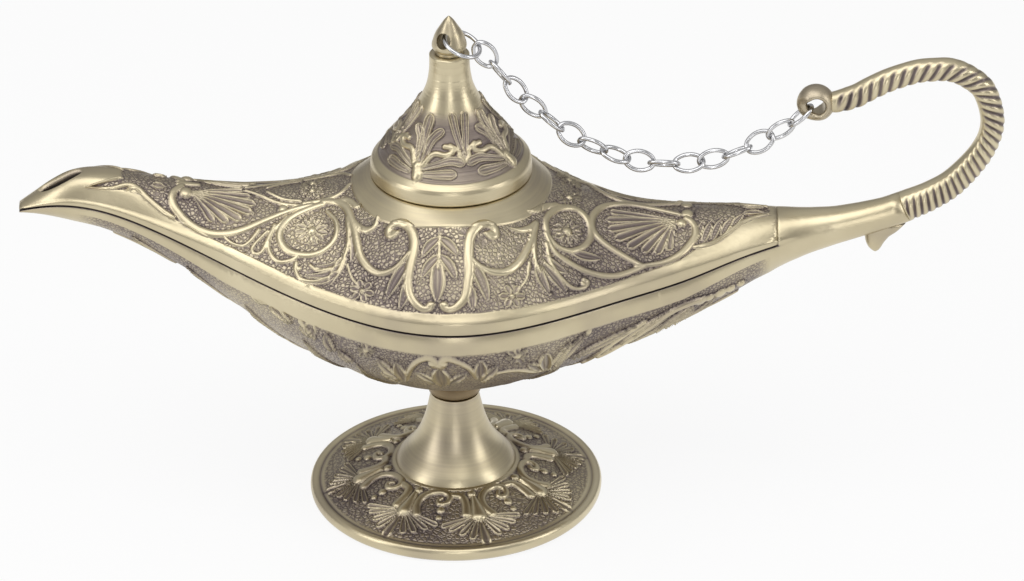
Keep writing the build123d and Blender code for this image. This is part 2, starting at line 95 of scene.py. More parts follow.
def new_material(name):
    """A material with its node tree and its main shader."""
    stuff = bpy.data.materials.new(name)
    stuff.use_nodes = True
    return stuff, stuff.node_tree, stuff.node_tree.nodes["Principled BSDF"]


# Studio: a white sweep that the lens sees as plain white, a soft box above, one at each side
# and a low one in front, so that the brass shows long soft highlights and darker flanks.
world = bpy.data.worlds.new("studio")
bpy.context.scene.world = world
world.use_nodes = True
tree = world.node_tree
tree.nodes.clear()
way = add_node(tree, "SeparateXYZ", {0: add_node(tree, "TexCoord").outputs["Generated"]})
height_share = reckoned(tree, "MULTIPLY_ADD", way.outputs["Z"], 0.5, 0.5)
wall_tones = add_node(tree, "ValToRGB", {"Fac": height_share})
wall_stops = ((0.36, (0.20, 0.19, 0.20, 1)), (0.92, (0.95, 0.95, 0.95, 1)))
for stop, (at, colour) in zip(wall_tones.color_ramp.elements, wall_stops):
    stop.position, stop.color = at, colour
room_light = 0.62
room = add_node(tree, "Background", {"Color": wall_tones.outputs["Color"], "Strength": room_light})
sweep = add_node(tree, "Background", {"Color": (1, 1, 1, 1)})
seen = add_node(tree, "LightPath").outputs["Is Camera Ray"]
pick = add_node(tree, "MixShader", {"Fac": seen, 1: room.outputs[0], 2: sweep.outputs[0]})
add_node(tree, "OutputWorld", {"Surface": pick.outputs[0]})

for name, place, aim, wide, tall, power in (
    ("top_box", (-0.10, -0.25, 0.75), (0.0, 0.0, 0.05), 0.9, 0.5, 2.5),
    ("left_box", (-0.75, -0.35, 0.35), (-0.02, 0.0, 0.05), 0.30, 0.6, 1.7),
    ("right_box", (0.80, -0.30, 0.40), (0.03, 0.0, 0.05), 0.22, 0.6, 1.4),
    ("front_box", (0.03, -0.95, 0.30), (0.0, 0.0, 0.05), 0.14, 0.5, 1.0),
):
    glow = bpy.data.lights.new(name, "AREA")
    glow.shape = "RECTANGLE"
    glow.size, glow.size_y = wide, tall
    glow.energy = power
    lamp = bpy.data.objects.new(name, glow)
    lamp.location = place
    lamp.rotation_euler = (Vector(aim) - Vector(place)).to_track_quat("-Z", "Y").to_euler()
    bpy.context.scene.collection.objects.link(lamp)

bpy.context.scene.view_settings.view_transform = "Standard"
floor_half = 3.0
floor_mesh = bpy.data.meshes.new("floor")
floor_corners = [(x * floor_half, y * floor_half, 0) for x, y in ((-1, -1), (1, -1), (1, 1), (-1, 1))]
floor_mesh.from_pydata(floor_corners, [], [(0, 1, 2, 3)])
floor = bpy.data.objects.new("floor", floor_mesh)
bpy.context.scene.collection.objects.link(floor)
paper, tree, sheet = new_material("white_paper")
sheet.inputs["Base Color"].default_value = (0.86, 0.86, 0.86, 1)
sheet.inputs["Roughness"].default_value = 0.85
glare = add_node(tree, "Emission", {"Color": (1, 1, 1, 1)})
rays = add_node(tree, "LightPath")
either = reckoned(tree, "MAXIMUM", rays.outputs["Is Camera Ray"], rays.outputs["Is Glossy Ray"])
white_share = reckoned(tree, "MULTIPLY", either, 0.88)
blend = add_node(tree, "MixShader", {"Fac": white_share, 1: sheet.outputs[0], 2: glare.outputs[0]})
tree.links.new(blend.outputs[0], tree.nodes["Material Output"].inputs["Surface"])
floor_mesh.materials.append(paper)

# Cover: the upper casting, drawn out into the spout at one end. A smooth band and bevel run
# round its rim; the field above is chased with vines, leaves, shells and rosettes on a pebbled
# ground, and the same casting carries the collar that the lid sits on.
# Stations along the body: place, half width, seam, ridge, keel, power of the crown's curve.
stations = np.array([
    (-89.5, 1.7, 68.9, 69.9, 68.0, 2.0), (-86.0, 3.1, 70.2, 72.3, 67.7, 2.4),
    (-80.0, 5.0, 71.5, 76.0, 66.5, 2.8), (-72.0, 6.2, 70.7, 77.1, 63.9, 2.7),
    (-62.0, 8.3, 67.6, 75.3, 59.2, 2.0), (-49.0, 13.2, 63.0, 73.1, 50.3, 1.4),
    (-36.0, 20.1, 59.4, 72.3, 40.1, 1.25), (-20.0, 28.9, 57.0, 74.8, 32.3, 1.6),
    (0.0, 34.89, 56.5, 80.5, 28.5, 2.2), (20.0, 28.7, 56.2, 74.0, 31.9, 1.6),
    (36.0, 19.1, 56.0, 68.3, 36.9, 1.25), (49.0, 13.4, 57.4, 66.9, 42.7, 1.3),
    (60.0, 9.0, 59.9, 66.5, 48.5, 1.7), (67.5, 6.2, 61.2, 66.2, 53.1, 2.2),
])
band_h, bevel_h, lower_band_h, seam_gap = 2.75, 1.4, 3.95, 0.17
arm_start, arm_end = 67.5, 94.0


def smooth_through(at):
    """The stations' sizes at these places, by a natural cubic spline along the body."""
    xs, ys = stations[:, 0], stations[:, 1:]
    n = len(xs)
    step = np.diff(xs)
    rows = np.eye(n)
    load = np.zeros((n, ys.shape[1]))
    for k in range(1, n - 1):
        rows[k, k - 1 : k + 2] = step[k - 1], 2 * (step[k - 1] + step[k]), step[k]
        load[k] = 6 * ((ys[k + 1] - ys[k]) / step[k] - (ys[k] - ys[k - 1]) / step[k - 1])
    bend = np.linalg.solve(rows, load)
    k = np.clip(np.searchsorted(xs, at) - 1, 0, n - 2)
    a = ((xs[k + 1] - at) / step[k])[:, None]
    b = 1 - a
    wide = (step[k] ** 2 / 6)[:, None]
    return a * ys[k] + b * ys[k + 1] + ((a**3 - a) * bend[k] + (b**3 - b) * bend[k + 1]) * wide


def unit(value):
    """The value held between 0 and 1."""
    return np.clip(value, 0, 1)


def even_steps(points, count):
    """The same line in equal steps along its length."""
    gone = np.concatenate([[0], np.cumsum(np.linalg.norm(np.diff(points, axis=0), axis=1))])
    at = np.linspace(0, gone[-1], count)
    return np.stack([np.interp(at, gone, points[:, c]) for c in range(points.shape[1])], -1)


def face_rows(index):
    """Four-sided faces over a grid of point numbers."""
    return np.stack(
        [index[:-1, :-1], index[1:, :-1], index[1:, 1:], index[:-1, 1:]], -1
    ).reshape(-1, 4)


def grid_normals(grid):
    """Unit normals of a grid of points, outward where its rows run upward and its columns to +X."""
    along = np.gradient(grid, axis=0)
    over = np.gradient(grid, axis=1)
    way = np.cross(along, over)
    return way / np.maximum(np.linalg.norm(way, axis=-1, keepdims=True), 1e-9)


def flow(points, per_step=7):
    """A rounded line through a few points of the picture."""
    p = np.asarray(points, float)
    p = np.concatenate([[2 * p[0] - p[1]], p, [2 * p[-1] - p[-2]]])
    t = np.linspace(0, 1, per_step, endpoint=False)[:, None]
    out = []
    for a, b, c, d in zip(p[:-3], p[1:-2], p[2:-1], p[3:]):
        bend, twist = 2 * a - 5 * b + 4 * c - d, 3 * b - a - 3 * c + d
        out.append(0.5 * (2 * b + (c - a) * t + bend * t**2 + twist * t**3))
    return np.concatenate(out + [p[-2:-1]])


ground_tone, plain_tone, shadow_reach = 0.42, 0.78, 0.17


def hump(share, at, wide):
    """A rounded rim at one share of a stroke's half width."""
    return np.exp(-(((share - at) / wide) ** 2))


def cross_section(kind, share, top):
    """Height and tone across a stroke, by share of its half width."""
    if kind == "round":
        rise = top * unit(1 - share**2.4) ** 0.6
        return rise, 0.30 + 0.46 * unit(1.25 - share**2.6)
    if kind == "boss":
        return top * np.sqrt(unit(1 - share**2)), 0.82 - 0.3 * share**4
    bed = unit((0.98 - share) / 0.2)
    if kind == "leaf":
        crest, bed = np.maximum(hump(share, 0.74, 0.24), 0.42 * hump(share, 0, 0.13)), 0.20
        dark, light, edge = 0.21, 0.58, 0.16
    elif kind == "finger":
        crest, bed = np.maximum(hump(share, 0.80, 0.15), 0.72 * hump(share, 0.34, 0.15)), 0.28 * bed
        dark, light, edge = 0.28, 0.50, 0.12
    else:
        crest, bed = hump(share, 0.72, 0.25), 0.16 * bed
        dark, light, edge = 0.28, 0.52, 0.12
    rise = top * np.maximum(crest, bed) * unit((1 - share) / edge) ** 0.5
    return rise, unit(dark + light * crest)


class Chasing:
    """Raised work on a casting: strokes are laid on its surface and keep their real widths."""

    def __init__(self, grid, picture, bold=1.0):
        self.bold = bold
        self.at = grid.reshape(-1, 3)
        self.high = np.zeros(len(self.at))
        self.tone = np.full(len(self.at), ground_tone)
        self.bare = np.ones(len(self.at))
        self.find = KDTree(len(picture))
        for k, (u, v) in enumerate(picture):
            self.find.insert((u, v, 0), k)
        self.find.balance()

    def put(self, points):
        """Picture places moved onto the surface that shows there."""
        line = []
        for u, v in points:
            near = self.find.find_n((u, v, 0), 4)
            pull = np.array([1 / (gap + 0.05) ** 2 for _, _, gap in near])
            line.append((self.at[[k for _, k, _ in near]] * pull[:, None]).sum(0) / pull.sum())
        line = np.array(line)
        if len(line) > 3:
            for _ in range(2):
                line[1:-1] = (line[:-2] + 2 * line[1:-1] + line[2:]) / 4
        return line

    def trace(self, points):
        """The line of a stroke and the share of the way along it."""
        line = self.put(flow(points)) if self.find else flow(points)
        return line, np.linspace(0, 1, len(line))

    def lay(self, line, widths, top, kind):
        """One stroke of these half widths along a line on the surface."""
        line, widths = np.asarray(line, float), np.asarray(widths, float)
        reach = widths.max() * 1.9
        near = np.all((self.at > line.min(0) - reach) & (self.at < line.max(0) + reach), axis=1)
        picked = np.nonzero(near)[0]
        if not len(picked):
            return
        here = self.at[picked]
        best, apart = np.full((2, len(picked)), 9.0)
        if len(line) == 1:
            apart = np.linalg.norm(here - line[0], axis=1)
            best = apart / widths[0]
        for a, b, wa, wb in zip(line[:-1], line[1:], widths[:-1], widths[1:]):
            way = b - a
            t = unit((here - a) @ way / max(way @ way, 1e-9))
            gap = np.linalg.norm(here - a - t[:, None] * way, axis=1)
            wide = np.maximum(wa + (wb - wa) * t, 0.02)
            better = gap / wide < best
            best = np.where(better, gap / wide, best)
            apart = np.where(better, gap - wide, apart)
        inside = best < 1
        rise, tone = cross_section(kind, best, top)
        win = inside & (rise > self.high[picked] - 0.05)
        self.tone[picked[win]] = tone[win]
        self.high[picked[inside]] = np.maximum(self.high[picked[inside]], rise[inside])
        self.bare[picked[inside]] = 0
        foot = (~inside) & (self.bare[picked] > 0)
        gap = apart[foot] / shadow_reach if len(line) > 1 else (best[foot] - 1) * 3
        shadow = ground_tone - 0.34 * np.exp(-np.clip(gap, 0, 9))
        self.tone[picked[foot]] = np.minimum(self.tone[picked[foot]], shadow)

    def vine(self, points, start, end, top=0.62, swell=0.0, kind="round"):
        """A stem or scroll, thick at one end, thin at the other, or swollen between."""
        line, t = self.trace(points)
        self.lay(line, self.bold * (start + (end - start) * t + swell * np.sin(math.pi * t)), top, kind)

    def leaf(self, points, wide, top=0.6, kind="leaf", broad=0.45):
        """A pointed leaf or petal: base, any bend, tip."""
        line, t = self.trace(points)
        lean = math.log(0.5) / math.log(broad)
        shape = 0.06 + 0.94 * np.sin(math.pi * t**lean) ** 0.85
        self.lay(line, self.bold * wide * shape, top, kind)

    def flute(self, points, wide, top=0.55, kind="flute", root=0.30):
        """One hollow ray of a shell: narrow at the hub, round at its end."""
        line, t = self.trace(points)
        length = np.linalg.norm(np.diff(line, axis=0), axis=1).sum()
        past = unit(t - 1 + wide / length) * length / wide
        end = np.sqrt(np.clip(1 - past**2, 0.02, 1))
        self.lay(line, wide * (root + (1 - root) * t**0.9) * end, top, kind)

    def bead(self, point, r, top=None):
        """A round boss."""
        self.lay(self.put([point]), [r], r * 0.8 if top is None else top, "boss")

    def blossom(self, centre, across, down, count, boss, kind="leaf", turn=0.0, wide=0.46):
        """Petals round a boss, across and down in the picture's own pixels."""
        u, v = centre
        width = wide * across / pixels_per_mm * 2.4 / count * 1.12
        for k in range(count):
            a = turn + 2 * math.pi * k / count
            tip = (u + across * math.cos(a), v + down * math.sin(a))
            base = (u + 0.22 * across * math.cos(a), v + 0.22 * down * math.sin(a))
            middle = ((base[0] + tip[0]) / 2, (base[1] + tip[1]) / 2)
            self.leaf([base, middle, tip], width, 0.6, kind, 0.62)
        self.bead(centre, boss, 0.75)

    def fan(self, root, bend, lean, tips, top=0.55, ray="flute"):
        """Rays from one root; each tip is a column, a row and a half width."""
        for column, row, wide in tips:
            middle = ((bend[0] + column) / 2 + lean, (bend[1] + row) / 2)
            getattr(self, ray)([root, middle, (column, row)], wide, top)

    def draw(self, strokes):
        """A table of strokes: each row is the name of one of the strokes above, then its sizes."""
        for kind, *sizes in strokes:
            getattr(self, kind)(*sizes)


full_half, ridge_soft = 14.0, 0.12


def slimming(half):
    """Share of their full size that the band and the bevel have where the casting is this wide."""
    return np.minimum(1.0, half / full_half)


def crown_fall(share):
    """How far the crown has come down at a share of its half width: 0 at the ridge, 1 at the bevel."""
    return (np.sqrt(share**2 + ridge_soft**2) - ridge_soft) / (math.sqrt(1 + ridge_soft**2) - ridge_soft)


def crown_height(x, y):
    """Height of the cover's smooth crown above a place."""
    half, seam, ridge, _, power = (size.reshape(np.shape(x)) for size in smooth_through(np.ravel(x)).T)
    fade = slimming(half)
    foot = seam + (band_h + bevel_h) * fade
    return foot + (ridge - foot) * (1 - crown_fall(y / (half - bevel_h * fade)) ** power)


seat_r, seat_z, seat_edge_r, seat_sink, seat_curve = 17.0, 76.42, 20.6, 0.06, 1.12


def seat_height(x, y):
    """Height of the turned seat round the opening, which runs down to the crown at its edge."""
    bearing, r = np.arctan2(y, x), np.hypot(x, y)
    edge_z = crown_height(seat_edge_r * np.cos(bearing), seat_edge_r * np.sin(bearing)) - seat_sink
    down = unit((r - seat_r) / (seat_edge_r - seat_r))
    return seat_z + (edge_z - seat_z) * down**seat_curve


tip_x, seat_floor_z, ledge = -89.5, 70, 0.16
cover_x = np.concatenate([np.linspace(tip_x, -74, 60), np.linspace(-73.75, 67.38, 540)])
mouth_x, mouth_long, mouth_wide, bore = -80.9, 4.7, 2.5, 18.6
sizes = smooth_through(cover_x)
opening = np.where(np.abs(cover_x) < bore, np.sqrt(np.clip(bore**2 - cover_x**2, 0, None)), 0)
mouth = np.abs(cover_x - mouth_x) < mouth_long
opening = np.where(
    mouth, mouth_wide * np.sqrt(unit(1 - ((cover_x - mouth_x) / mouth_long) ** 2)), opening
)
rows = 150
outer = np.zeros((len(cover_x), rows, 3))
skin_row = 16
for i, (x, size, inner_y) in enumerate(zip(cover_x, sizes, opening)):
    half, seam, ridge, keel, power = size
    fade = slimming(half)
    strip, bevel = band_h * fade, bevel_h * fade
    foot = seam + strip + bevel
    rim = np.array([
        (half - ledge * fade, seam + seam_gap), (half, seam + seam_gap + ledge), (half, seam + strip * 0.5),
        (half, foot - bevel - 0.12), (half - 0.08, foot - bevel + 0.04),
        (half - bevel * 0.5, foot - bevel * 0.5), (half - bevel + 0.06, foot - 0.06), (half - bevel, foot),
    ])
    rim = np.concatenate([rim[:1], even_steps(rim[1:], skin_row - 1)])
    crest = half - bevel
    y = crest * np.cos(np.linspace(0, math.pi / 2, 300))
    y = np.append(y[y > inner_y], inner_y)
    crown = np.stack([y, foot + (ridge - foot) * (1 - crown_fall(y / crest) ** power)], -1)
    crown = even_steps(crown, rows - skin_row + 1)[1:]
    outer[i, :, 0] = x
    outer[i, :, 1:] = np.concatenate([rim, crown])
outer[:, :, 1] *= -1
out_r = np.hypot(outer[:, :, 0], outer[:, :, 1])
seated = (out_r < seat_edge_r) & (outer[:, :, 2] > seat_floor_z)
under_seat = seat_height(outer[:, :, 0][seated], outer[:, :, 1][seated])
under_seat -= 0.3 * unit((seat_edge_r - out_r[seated]) / 0.6)
outer[:, :, 2][seated] = np.minimum(outer[:, :, 2][seated], under_seat)
inner = outer.copy()
cover_wall, cover_shrink = 1.6, 0.984
wall = np.minimum(cover_wall, sizes[:, 0] * 0.35)
middle = sizes[:, 1] + seam_gap
inner[:, :, 1] *= ((sizes[:, 0] - wall) / sizes[:, 0])[:, None]
rise_in = sizes[:, 2] - middle
drop = (rise_in - np.minimum(wall, rise_in * 0.4)) / rise_in
inner[:, :, 2] = middle[:, None] + (outer[:, :, 2] - middle[:, None]) * drop[:, None]
inner_rows = np.array([0, 6, 16, 38, 64, 92, 120, rows - 1])
inner = inner[:, inner_rows]
inner[:, :, 0] *= cover_shrink

# The cover's ornament as it lies in the picture. Points, and how far blossoms reach and fans
# lean, are in columns and rows of the picture; half widths and heights are in millimetres.
cover_strokes = [
    # Central spray of leaves between two scrolls
    ("leaf", [(440.6, 225.9), (440, 231), (439.3, 236.4)], 0.42),
    ("leaf", [(439.6, 237.4), (429.25, 245.45), (421.9, 256.5)], 0.95),
    ("leaf", [(439.6, 237.4), (450.5, 245.45), (458.4, 256.5)], 0.95),
    ("leaf", [(440.0, 254.8), (428.95, 265.15), (420.9, 278.5)], 0.95),
    ("leaf", [(440.0, 254.8), (449.95, 266.1), (456.9, 280.4)], 0.95),
    ("vine", [(439.6, 236), (439, 255), (438, 268)], 0.3, 0.3, 0.45),
    ("leaf", [(438.2, 262.0), (437.4, 282), (436.8, 302.5)], 1.45),
    ("vine", [(397.5, 232.5), (392.0, 236.5), (388, 233.5), (389.5, 227.8), (395.7, 223.4),
     (404.3, 223.4), (411, 230.1), (413.8, 239.3), (413.3, 250.8), (410.4, 264.2), (408.3, 277.6),
     (408.9, 291), (413.5, 301.4), (421.8, 308.4), (429.6, 308.4), (432.3, 304.6)], 0.5, 0.5, 0.72,
     0.42),
    ("vine", [(486.5, 233.5), (492.5, 237.0), (496.3, 234.0), (494.5, 227.6), (487.0, 223.6),
     (479.0, 225.2), (472.2, 233.0), (469.3, 243.1), (469.0, 256.5), (470.1, 268.0), (468.6, 279.5),
     (466.4, 292.9), (462.0, 301.8), (453.4, 308.8), (445.0, 308.6), (441.8, 304.6)], 0.5, 0.5, 0.72,
     0.42),
    ("bead", (393.6, 233.0), 0.85),
    ("bead", (490.6, 233.6), 0.85),
    ("bead", (430.2, 305.6), 0.95),
    ("bead", (443.8, 305.6), 0.95),
    ("leaf", [(407, 262), (396, 279), (385.1, 300.5)], 1.1),
    ("leaf", [(408.5, 276), (405, 294), (399.5, 310.1)], 0.95),
    ("leaf", [(471.5, 262), (482, 281), (489.4, 304.4)], 1.1),
    ("leaf", [(469.6, 284), (472, 298), (473.1, 311.5)], 0.9),
    # Swags from the scrolls to the flank sprays, and the small scrolls under the collar
    ("vine", [(409, 252.7), (395.7, 267.5), (382.3, 273.2), (370.8, 269.4), (361.2, 257.8),
     (357.4, 245), (355.0, 231.7), (350.1, 216.3), (345.9, 207.2), (337, 201.8), (323, 201.5)], 0.42,
     0.62, 0.68, 0.25),
    ("vine", [(470.3, 256.5), (479.8, 266.1), (493.2, 271.5), (506.6, 271.3), (518.1, 263.4),
     (527.7, 248.9), (534.4, 232.7), (537.0, 223)], 0.42, 0.5, 0.68, 0.25),
    ("vine", [(351, 217), (357.4, 226), (367, 230.1), (374.6, 226), (377.6, 216.8)], 0.5, 0.28, 0.6,
     0.3),
    ("vine", [(338.3, 201), (347.8, 199.8), (356.4, 206.0), (361.5, 205.8)], 0.6, 0.25, 0.62, 0.2),
    ("vine", [(536.3, 222.1), (529.6, 227.8), (520, 230.1), (510.4, 228.2)], 0.5, 0.25, 0.6, 0.25),
    ("vine", [(527.0, 210.6), (531.5, 211.4), (538.8, 209.5), (546.8, 205.8), (556, 204.6)], 0.25, 0.6,
     0.6, 0.2),
    # Flank sprays
    ("leaf", [(352.6, 229), (354, 248), (350.3, 266)], 0.72),
    ("leaf", [(345.5, 254), (337, 270), (326.6, 287.4)], 1.0),
    ("leaf", [(346, 257), (331, 266), (311.5, 266.6)], 0.6),
    ("leaf", [(344, 262), (326, 275), (300, 275.2)], 0.62),
    ("leaf", [(342, 267), (326.8, 280), (304.5, 283.4)], 0.6),
    ("leaf", [(350, 240), (346, 250), (340, 262)], 0.6),
    ("leaf", [(536.0, 262), (542, 279), (550.9, 296.0)], 1.0),
    ("leaf", [(541, 262), (556, 279), (568.2, 295.2)], 0.95),
    ("leaf", [(540, 254), (554, 265), (569.2, 273.9)], 0.95),
    ("leaf", [(533.5, 226), (531.6, 238), (526, 251)], 0.6),
    ("leaf", [(570, 251), (586, 256.5), (602.5, 258.3)], 1.0),
    ("vine", [(347.5, 218), (348.5, 240), (344.0, 258), (338, 272)], 0.5, 0.3, 0.6),
    ("vine", [(346.9, 264), (351.6, 277.5), (358.4, 285.3)], 0.3, 0.2, 0.45),
    ("vine", [(529.6, 262), (527.2, 277.6), (519, 289)], 0.3, 0.2, 0.45),
    ("vine", [(535.4, 230), (534.4, 247.4), (535.6, 260), (540, 272)], 0.5, 0.3, 0.6),
    ("vine", [(546.8, 243.1), (551, 262), (562.1, 278.5), (573.6, 288.0), (584.0, 287.6),
     (588.2, 281.8), (583.5, 279.2)], 0.42, 0.34, 0.6),
    ("bead", (583.0, 283.0), 0.62),
    ("vine", [(545.8, 233), (554.4, 250.8), (566, 260), (580.6, 268.6), (598.6, 274.6), (615, 275.6),
     (630, 271.5), (645.7, 265.4)], 0.42, 0.5, 0.62, 0.15),
    ("blossom", (361.8, 290.8), 11.6, 10.6, 6, 0.6, "flute", 0.3, 0.58),
    ("blossom", (512.2, 296.2), 12.0, 11.2, 6, 0.6, "flute", 0.0, 0.58),
    # Rosettes in their rings
    ("blossom", (311.4, 230.6), 17.0, 14.0, 11, 1.0, "leaf", 0.2, 0.60),
    ("blossom", (568.0, 231.6), 15.0, 12.0, 10, 1.0, "leaf", 0.1, 0.60),
    ("blossom", (312.0, 190.4), 13.0, 7.0, 8, 0.7, "leaf", 0.3, 0.50),
    ("blossom", (569.5, 197.4), 13.0, 8.0, 8, 0.7, "leaf", 0.3, 0.50),
    ("vine", [(322, 204), (308, 208.6), (290.8, 217.2), (280.6, 229.2), (280.4, 241.3), (289, 251.2),
     (304.5, 254.8), (318.3, 252.8), (330.5, 244.5), (336.6, 233), (335.5, 220.5), (327, 211.5)], 0.66,
     0.4, 0.62, 0.12),
    ("vine", [(547.6, 233), (546.0, 219.5), (555.2, 209.8), (568.4, 207.0), (580.6, 211.2),
     (589.4, 222.4), (590.8, 236.5), (583.8, 246.4), (570.5, 250.6), (556.5, 245.2), (548, 234)], 0.62,
     0.46, 0.62, 0.12),
    ("vine", [(556, 204.6), (566, 207)], 0.5, 0.5, 0.6),
    ("vine", [(267.5, 231.0), (252.9, 246.0), (254.4, 253.3), (261.5, 251.8), (266.8, 241.3),
     (274.5, 225.0)], 0.3, 0.42, 0.52),
    ("vine", [(287, 216.2), (271.6, 232.7), (268.4, 248.2), (277, 260.8), (290.4, 260.2), (299, 254.4)],
     0.34, 0.5, 0.52),
    ("vine", [(223.3, 235.2), (231.8, 242.8), (242.5, 245.6), (251.4, 239.3), (259, 229.6)], 0.25, 0.42,
     0.52),
    ("vine", [(296.0, 262.6), (295.6, 270.5), (301.1, 278.8), (314.9, 281.2), (328.9, 277.0)], 0.45,
     0.3, 0.52),
    ("vine", [(309.7, 264.6), (318.3, 270.6), (331, 268.4)], 0.25, 0.42, 0.52),
    ("bead", (299.2, 268.0), 0.55),
    ("bead", (283.0, 208.4), 1.05, 0.55),
    # Left shell in its long scroll, and the pointed start of the field behind the mouth
    ("fan", (191.5, 192.0), (191.5, 191.0), 0, [(243.5, 190.4, 0.75), (250.5, 196.6, 0.95),
     (255.5, 204.2, 1.05), (251.8, 212.6, 1.15), (240.6, 219.6, 1.15), (226.4, 221.6, 1.1),
     (212.6, 221.0, 0.95)]),
    ("bead", (186.0, 192.4), 1.45, 0.95),
    ("vine", [(178.5, 183.6), (187.4, 182.2), (199, 184.0)], 0.5, 0.4, 0.6, 0.2),
    ("vine", [(182, 185.4), (173.6, 191.8), (171.9, 200.4), (177.1, 211.0), (187.4, 222.3),
     (201.2, 230.7), (218.4, 234.0), (239.1, 230.7), (266.6, 219.3), (292.5, 209.5), (312, 204.8)],
     0.62, 0.42, 0.66, 0.28),
    ("vine", [(85.8, 187), (103, 181.8), (121.1, 177.2)], 0.12, 0.34, 0.45),
    ("vine", [(85.8, 187.4), (111.7, 188.0), (125.4, 184.4), (135.8, 186.4), (146.1, 196.5),
     (163.3, 211.0), (173, 217.6)], 0.2, 0.45, 0.6, 0.2),
    ("vine", [(140.0, 192.6), (136.0, 187.6), (129.7, 188.3), (126.5, 193), (129.3, 197.6),
     (134.6, 198.4), (136.6, 195.2)], 0.42, 0.28, 0.62),
    ("leaf", [(153, 184.4), (158.2, 185.3), (164.5, 186.5)], 0.72),
    ("vine", [(246, 190.4), (262, 195.6), (280, 203.0), (301.1, 205.4)], 0.25, 0.4, 0.5),
    ("vine", [(266.6, 191.3), (283.9, 198.9), (300, 200.6)], 0.25, 0.4, 0.5),
    ("vine", [(349.7, 183.8), (338.3, 194.3), (323.1, 200.0), (304, 203)], 0.42, 0.5, 0.55),
    # Right shell in its ring, and the fern behind it
    ("fan", (675.4, 220.6), (675.4, 219.4), -1, [(609.4, 211.4, 0.9), (605.6, 219.6, 1.0),
     (607.4, 229.2, 1.1), (615.4, 238.6, 1.2), (628.4, 247.0, 1.2), (643.2, 251.6, 1.15),
     (656.8, 253.4, 1.1), (669.0, 249.8, 0.95)]),
    ("bead", (681.2, 222.9), 1.1, 0.85),
    ("bead", (687.0, 213.2), 1.3, 0.7),
    ("vine", [(641, 265.0), (628.9, 258.6), (613.6, 249.4), (601.3, 240.0), (592.9, 229.5),
     (592.3, 217.9), (598.5, 209.0), (608.9, 204.6), (626, 204.0), (645.7, 206.8), (667.1, 211.5),
     (680, 214.6)], 0.55, 0.42, 0.66, 0.22),
    ("vine", [(636, 266.4), (655, 264.0), (668.6, 260.4), (682.5, 252.0), (692.6, 240.4),
     (695.8, 230.6), (692.6, 222.3), (686, 217.8)], 0.4, 0.55, 0.66, 0.2),
    ("vine", [(694.7, 246.8), (713.1, 242.6), (728.4, 232.4), (740.6, 223.2), (754.4, 217.2),
     (766.5, 214.6)], 0.4, 0.34, 0.6, 0.12),
    ("leaf", [(702, 243.5), (707, 231), (712.6, 219.6)], 0.72),
    ("leaf", [(712, 240), (716, 229), (722.6, 218)], 0.72),
    ("leaf", [(721.6, 235.6), (727, 225), (734.2, 216.8)], 0.72),
    ("leaf", [(731, 229.6), (737, 220), (744.2, 213.8)], 0.62),
    ("leaf", [(742.8, 213.2), (754, 212.4), (765.6, 213.0)], 0.62),
    ("leaf", [(694.5, 243), (698.8, 231), (704.4, 219.5)], 0.62),
]
shown = seen_at(outer.reshape(-1, 3))
cover_bold, bowl_bold = 1.25, 1.35
chased = Chasing(outer, shown, cover_bold)
chased.draw(cover_strokes)

# The chased field stops at a line above the bevel, at the collar and behind the mouth
low_edge = np.array([
    (60, 150), (85.8, 187), (111.7, 190.6), (135.8, 189.5), (146.1, 199.5), (163.3, 214.2), (187.4, 226),
    (201.2, 234.4), (225, 245), (250, 256.6), (300, 281.4), (355, 301.0), (397, 311.4), (439, 315.2),
    (480, 313.6), (520, 308.6), (560, 299.8), (600, 288.4), (650, 271.0), (680, 260.4), (696, 249.5),
    (713, 244.4), (728, 235.0), (740, 225.6), (754, 219.6), (767, 216.4), (800, 150),
])
high_edge = np.array([(60, 300), (85.8, 187), (121, 176.4), (124, 100), (800, 100)])
soft_edge, cover_relief, cover_sunk = 1.4, 0.86, 0.24
below = np.interp(shown[:, 0], *low_edge.T) - shown[:, 1]
above = shown[:, 1] - np.interp(shown[:, 0], *high_edge.T)
field = unit(below / soft_edge) * unit(above / soft_edge)
radius = np.hypot(chased.at[:, 0], chased.at[:, 1])
field *= unit((radius - seat_edge_r + 0.1) / 0.4)
bare_r = 19.0
raised = chased.high * unit(below + 1.0) * unit((radius - bare_r) / 0.6)
rise = cover_relief * raised - cover_sunk * field
tone = np.where(chased.bare > 0, chased.tone * field + plain_tone * (1 - field), chased.tone)
front = outer + grid_normals(outer) * rise.reshape(outer.shape[:2])[..., None]
pebbled = (chased.bare * field).reshape(outer.shape[:2])
tone = tone.reshape(outer.shape[:2])
# The lip at the seam is painted black: painted shade in the gap between cover and bowl.
tone[:, 0] = 0.0


def closed_piece(name, points, faces, marks, material):
    """A closed mesh in metres from millimetre points, with its marks and its material."""
    faces = [np.asarray(f) for f in faces]
    used = np.unique(np.concatenate(faces))
    number = np.zeros(len(points), int)
    number[used] = np.arange(len(used))
    shape = bpy.data.meshes.new(name)
    shape.from_pydata((points[used] * MM).tolist(), [], [number[f].tolist() for f in faces])
    for key, values in marks.items():
        layer = shape.attributes.new(key, "FLOAT", "POINT")
        layer.data.foreach_set("value", values[used].astype(np.float32))
    shape.polygons.foreach_set("use_smooth", np.ones(len(shape.polygons), bool))
    work = bmesh.new()
    work.from_mesh(shape)
    bmesh.ops.recalc_face_normals(work, faces=work.faces)
    work.to_mesh(shape)
    work.free()
    piece = bpy.data.objects.new(name, shape)
    bpy.context.scene.collection.objects.link(piece)
    shape.materials.append(material)
    return piece


def wrapped_faces(shape, capped):
    """Faces over a grid that closes on itself: round only, with flat ends, or both ways."""
    number = np.arange(shape[0] * shape[1]).reshape(shape[:2])
    ends = [number[0], number[-1]] if capped else []
    if not capped:
        number = np.concatenate([number, number[:1]])
    return list(face_rows(np.concatenate([number, number[:, :1]], 1))) + ends


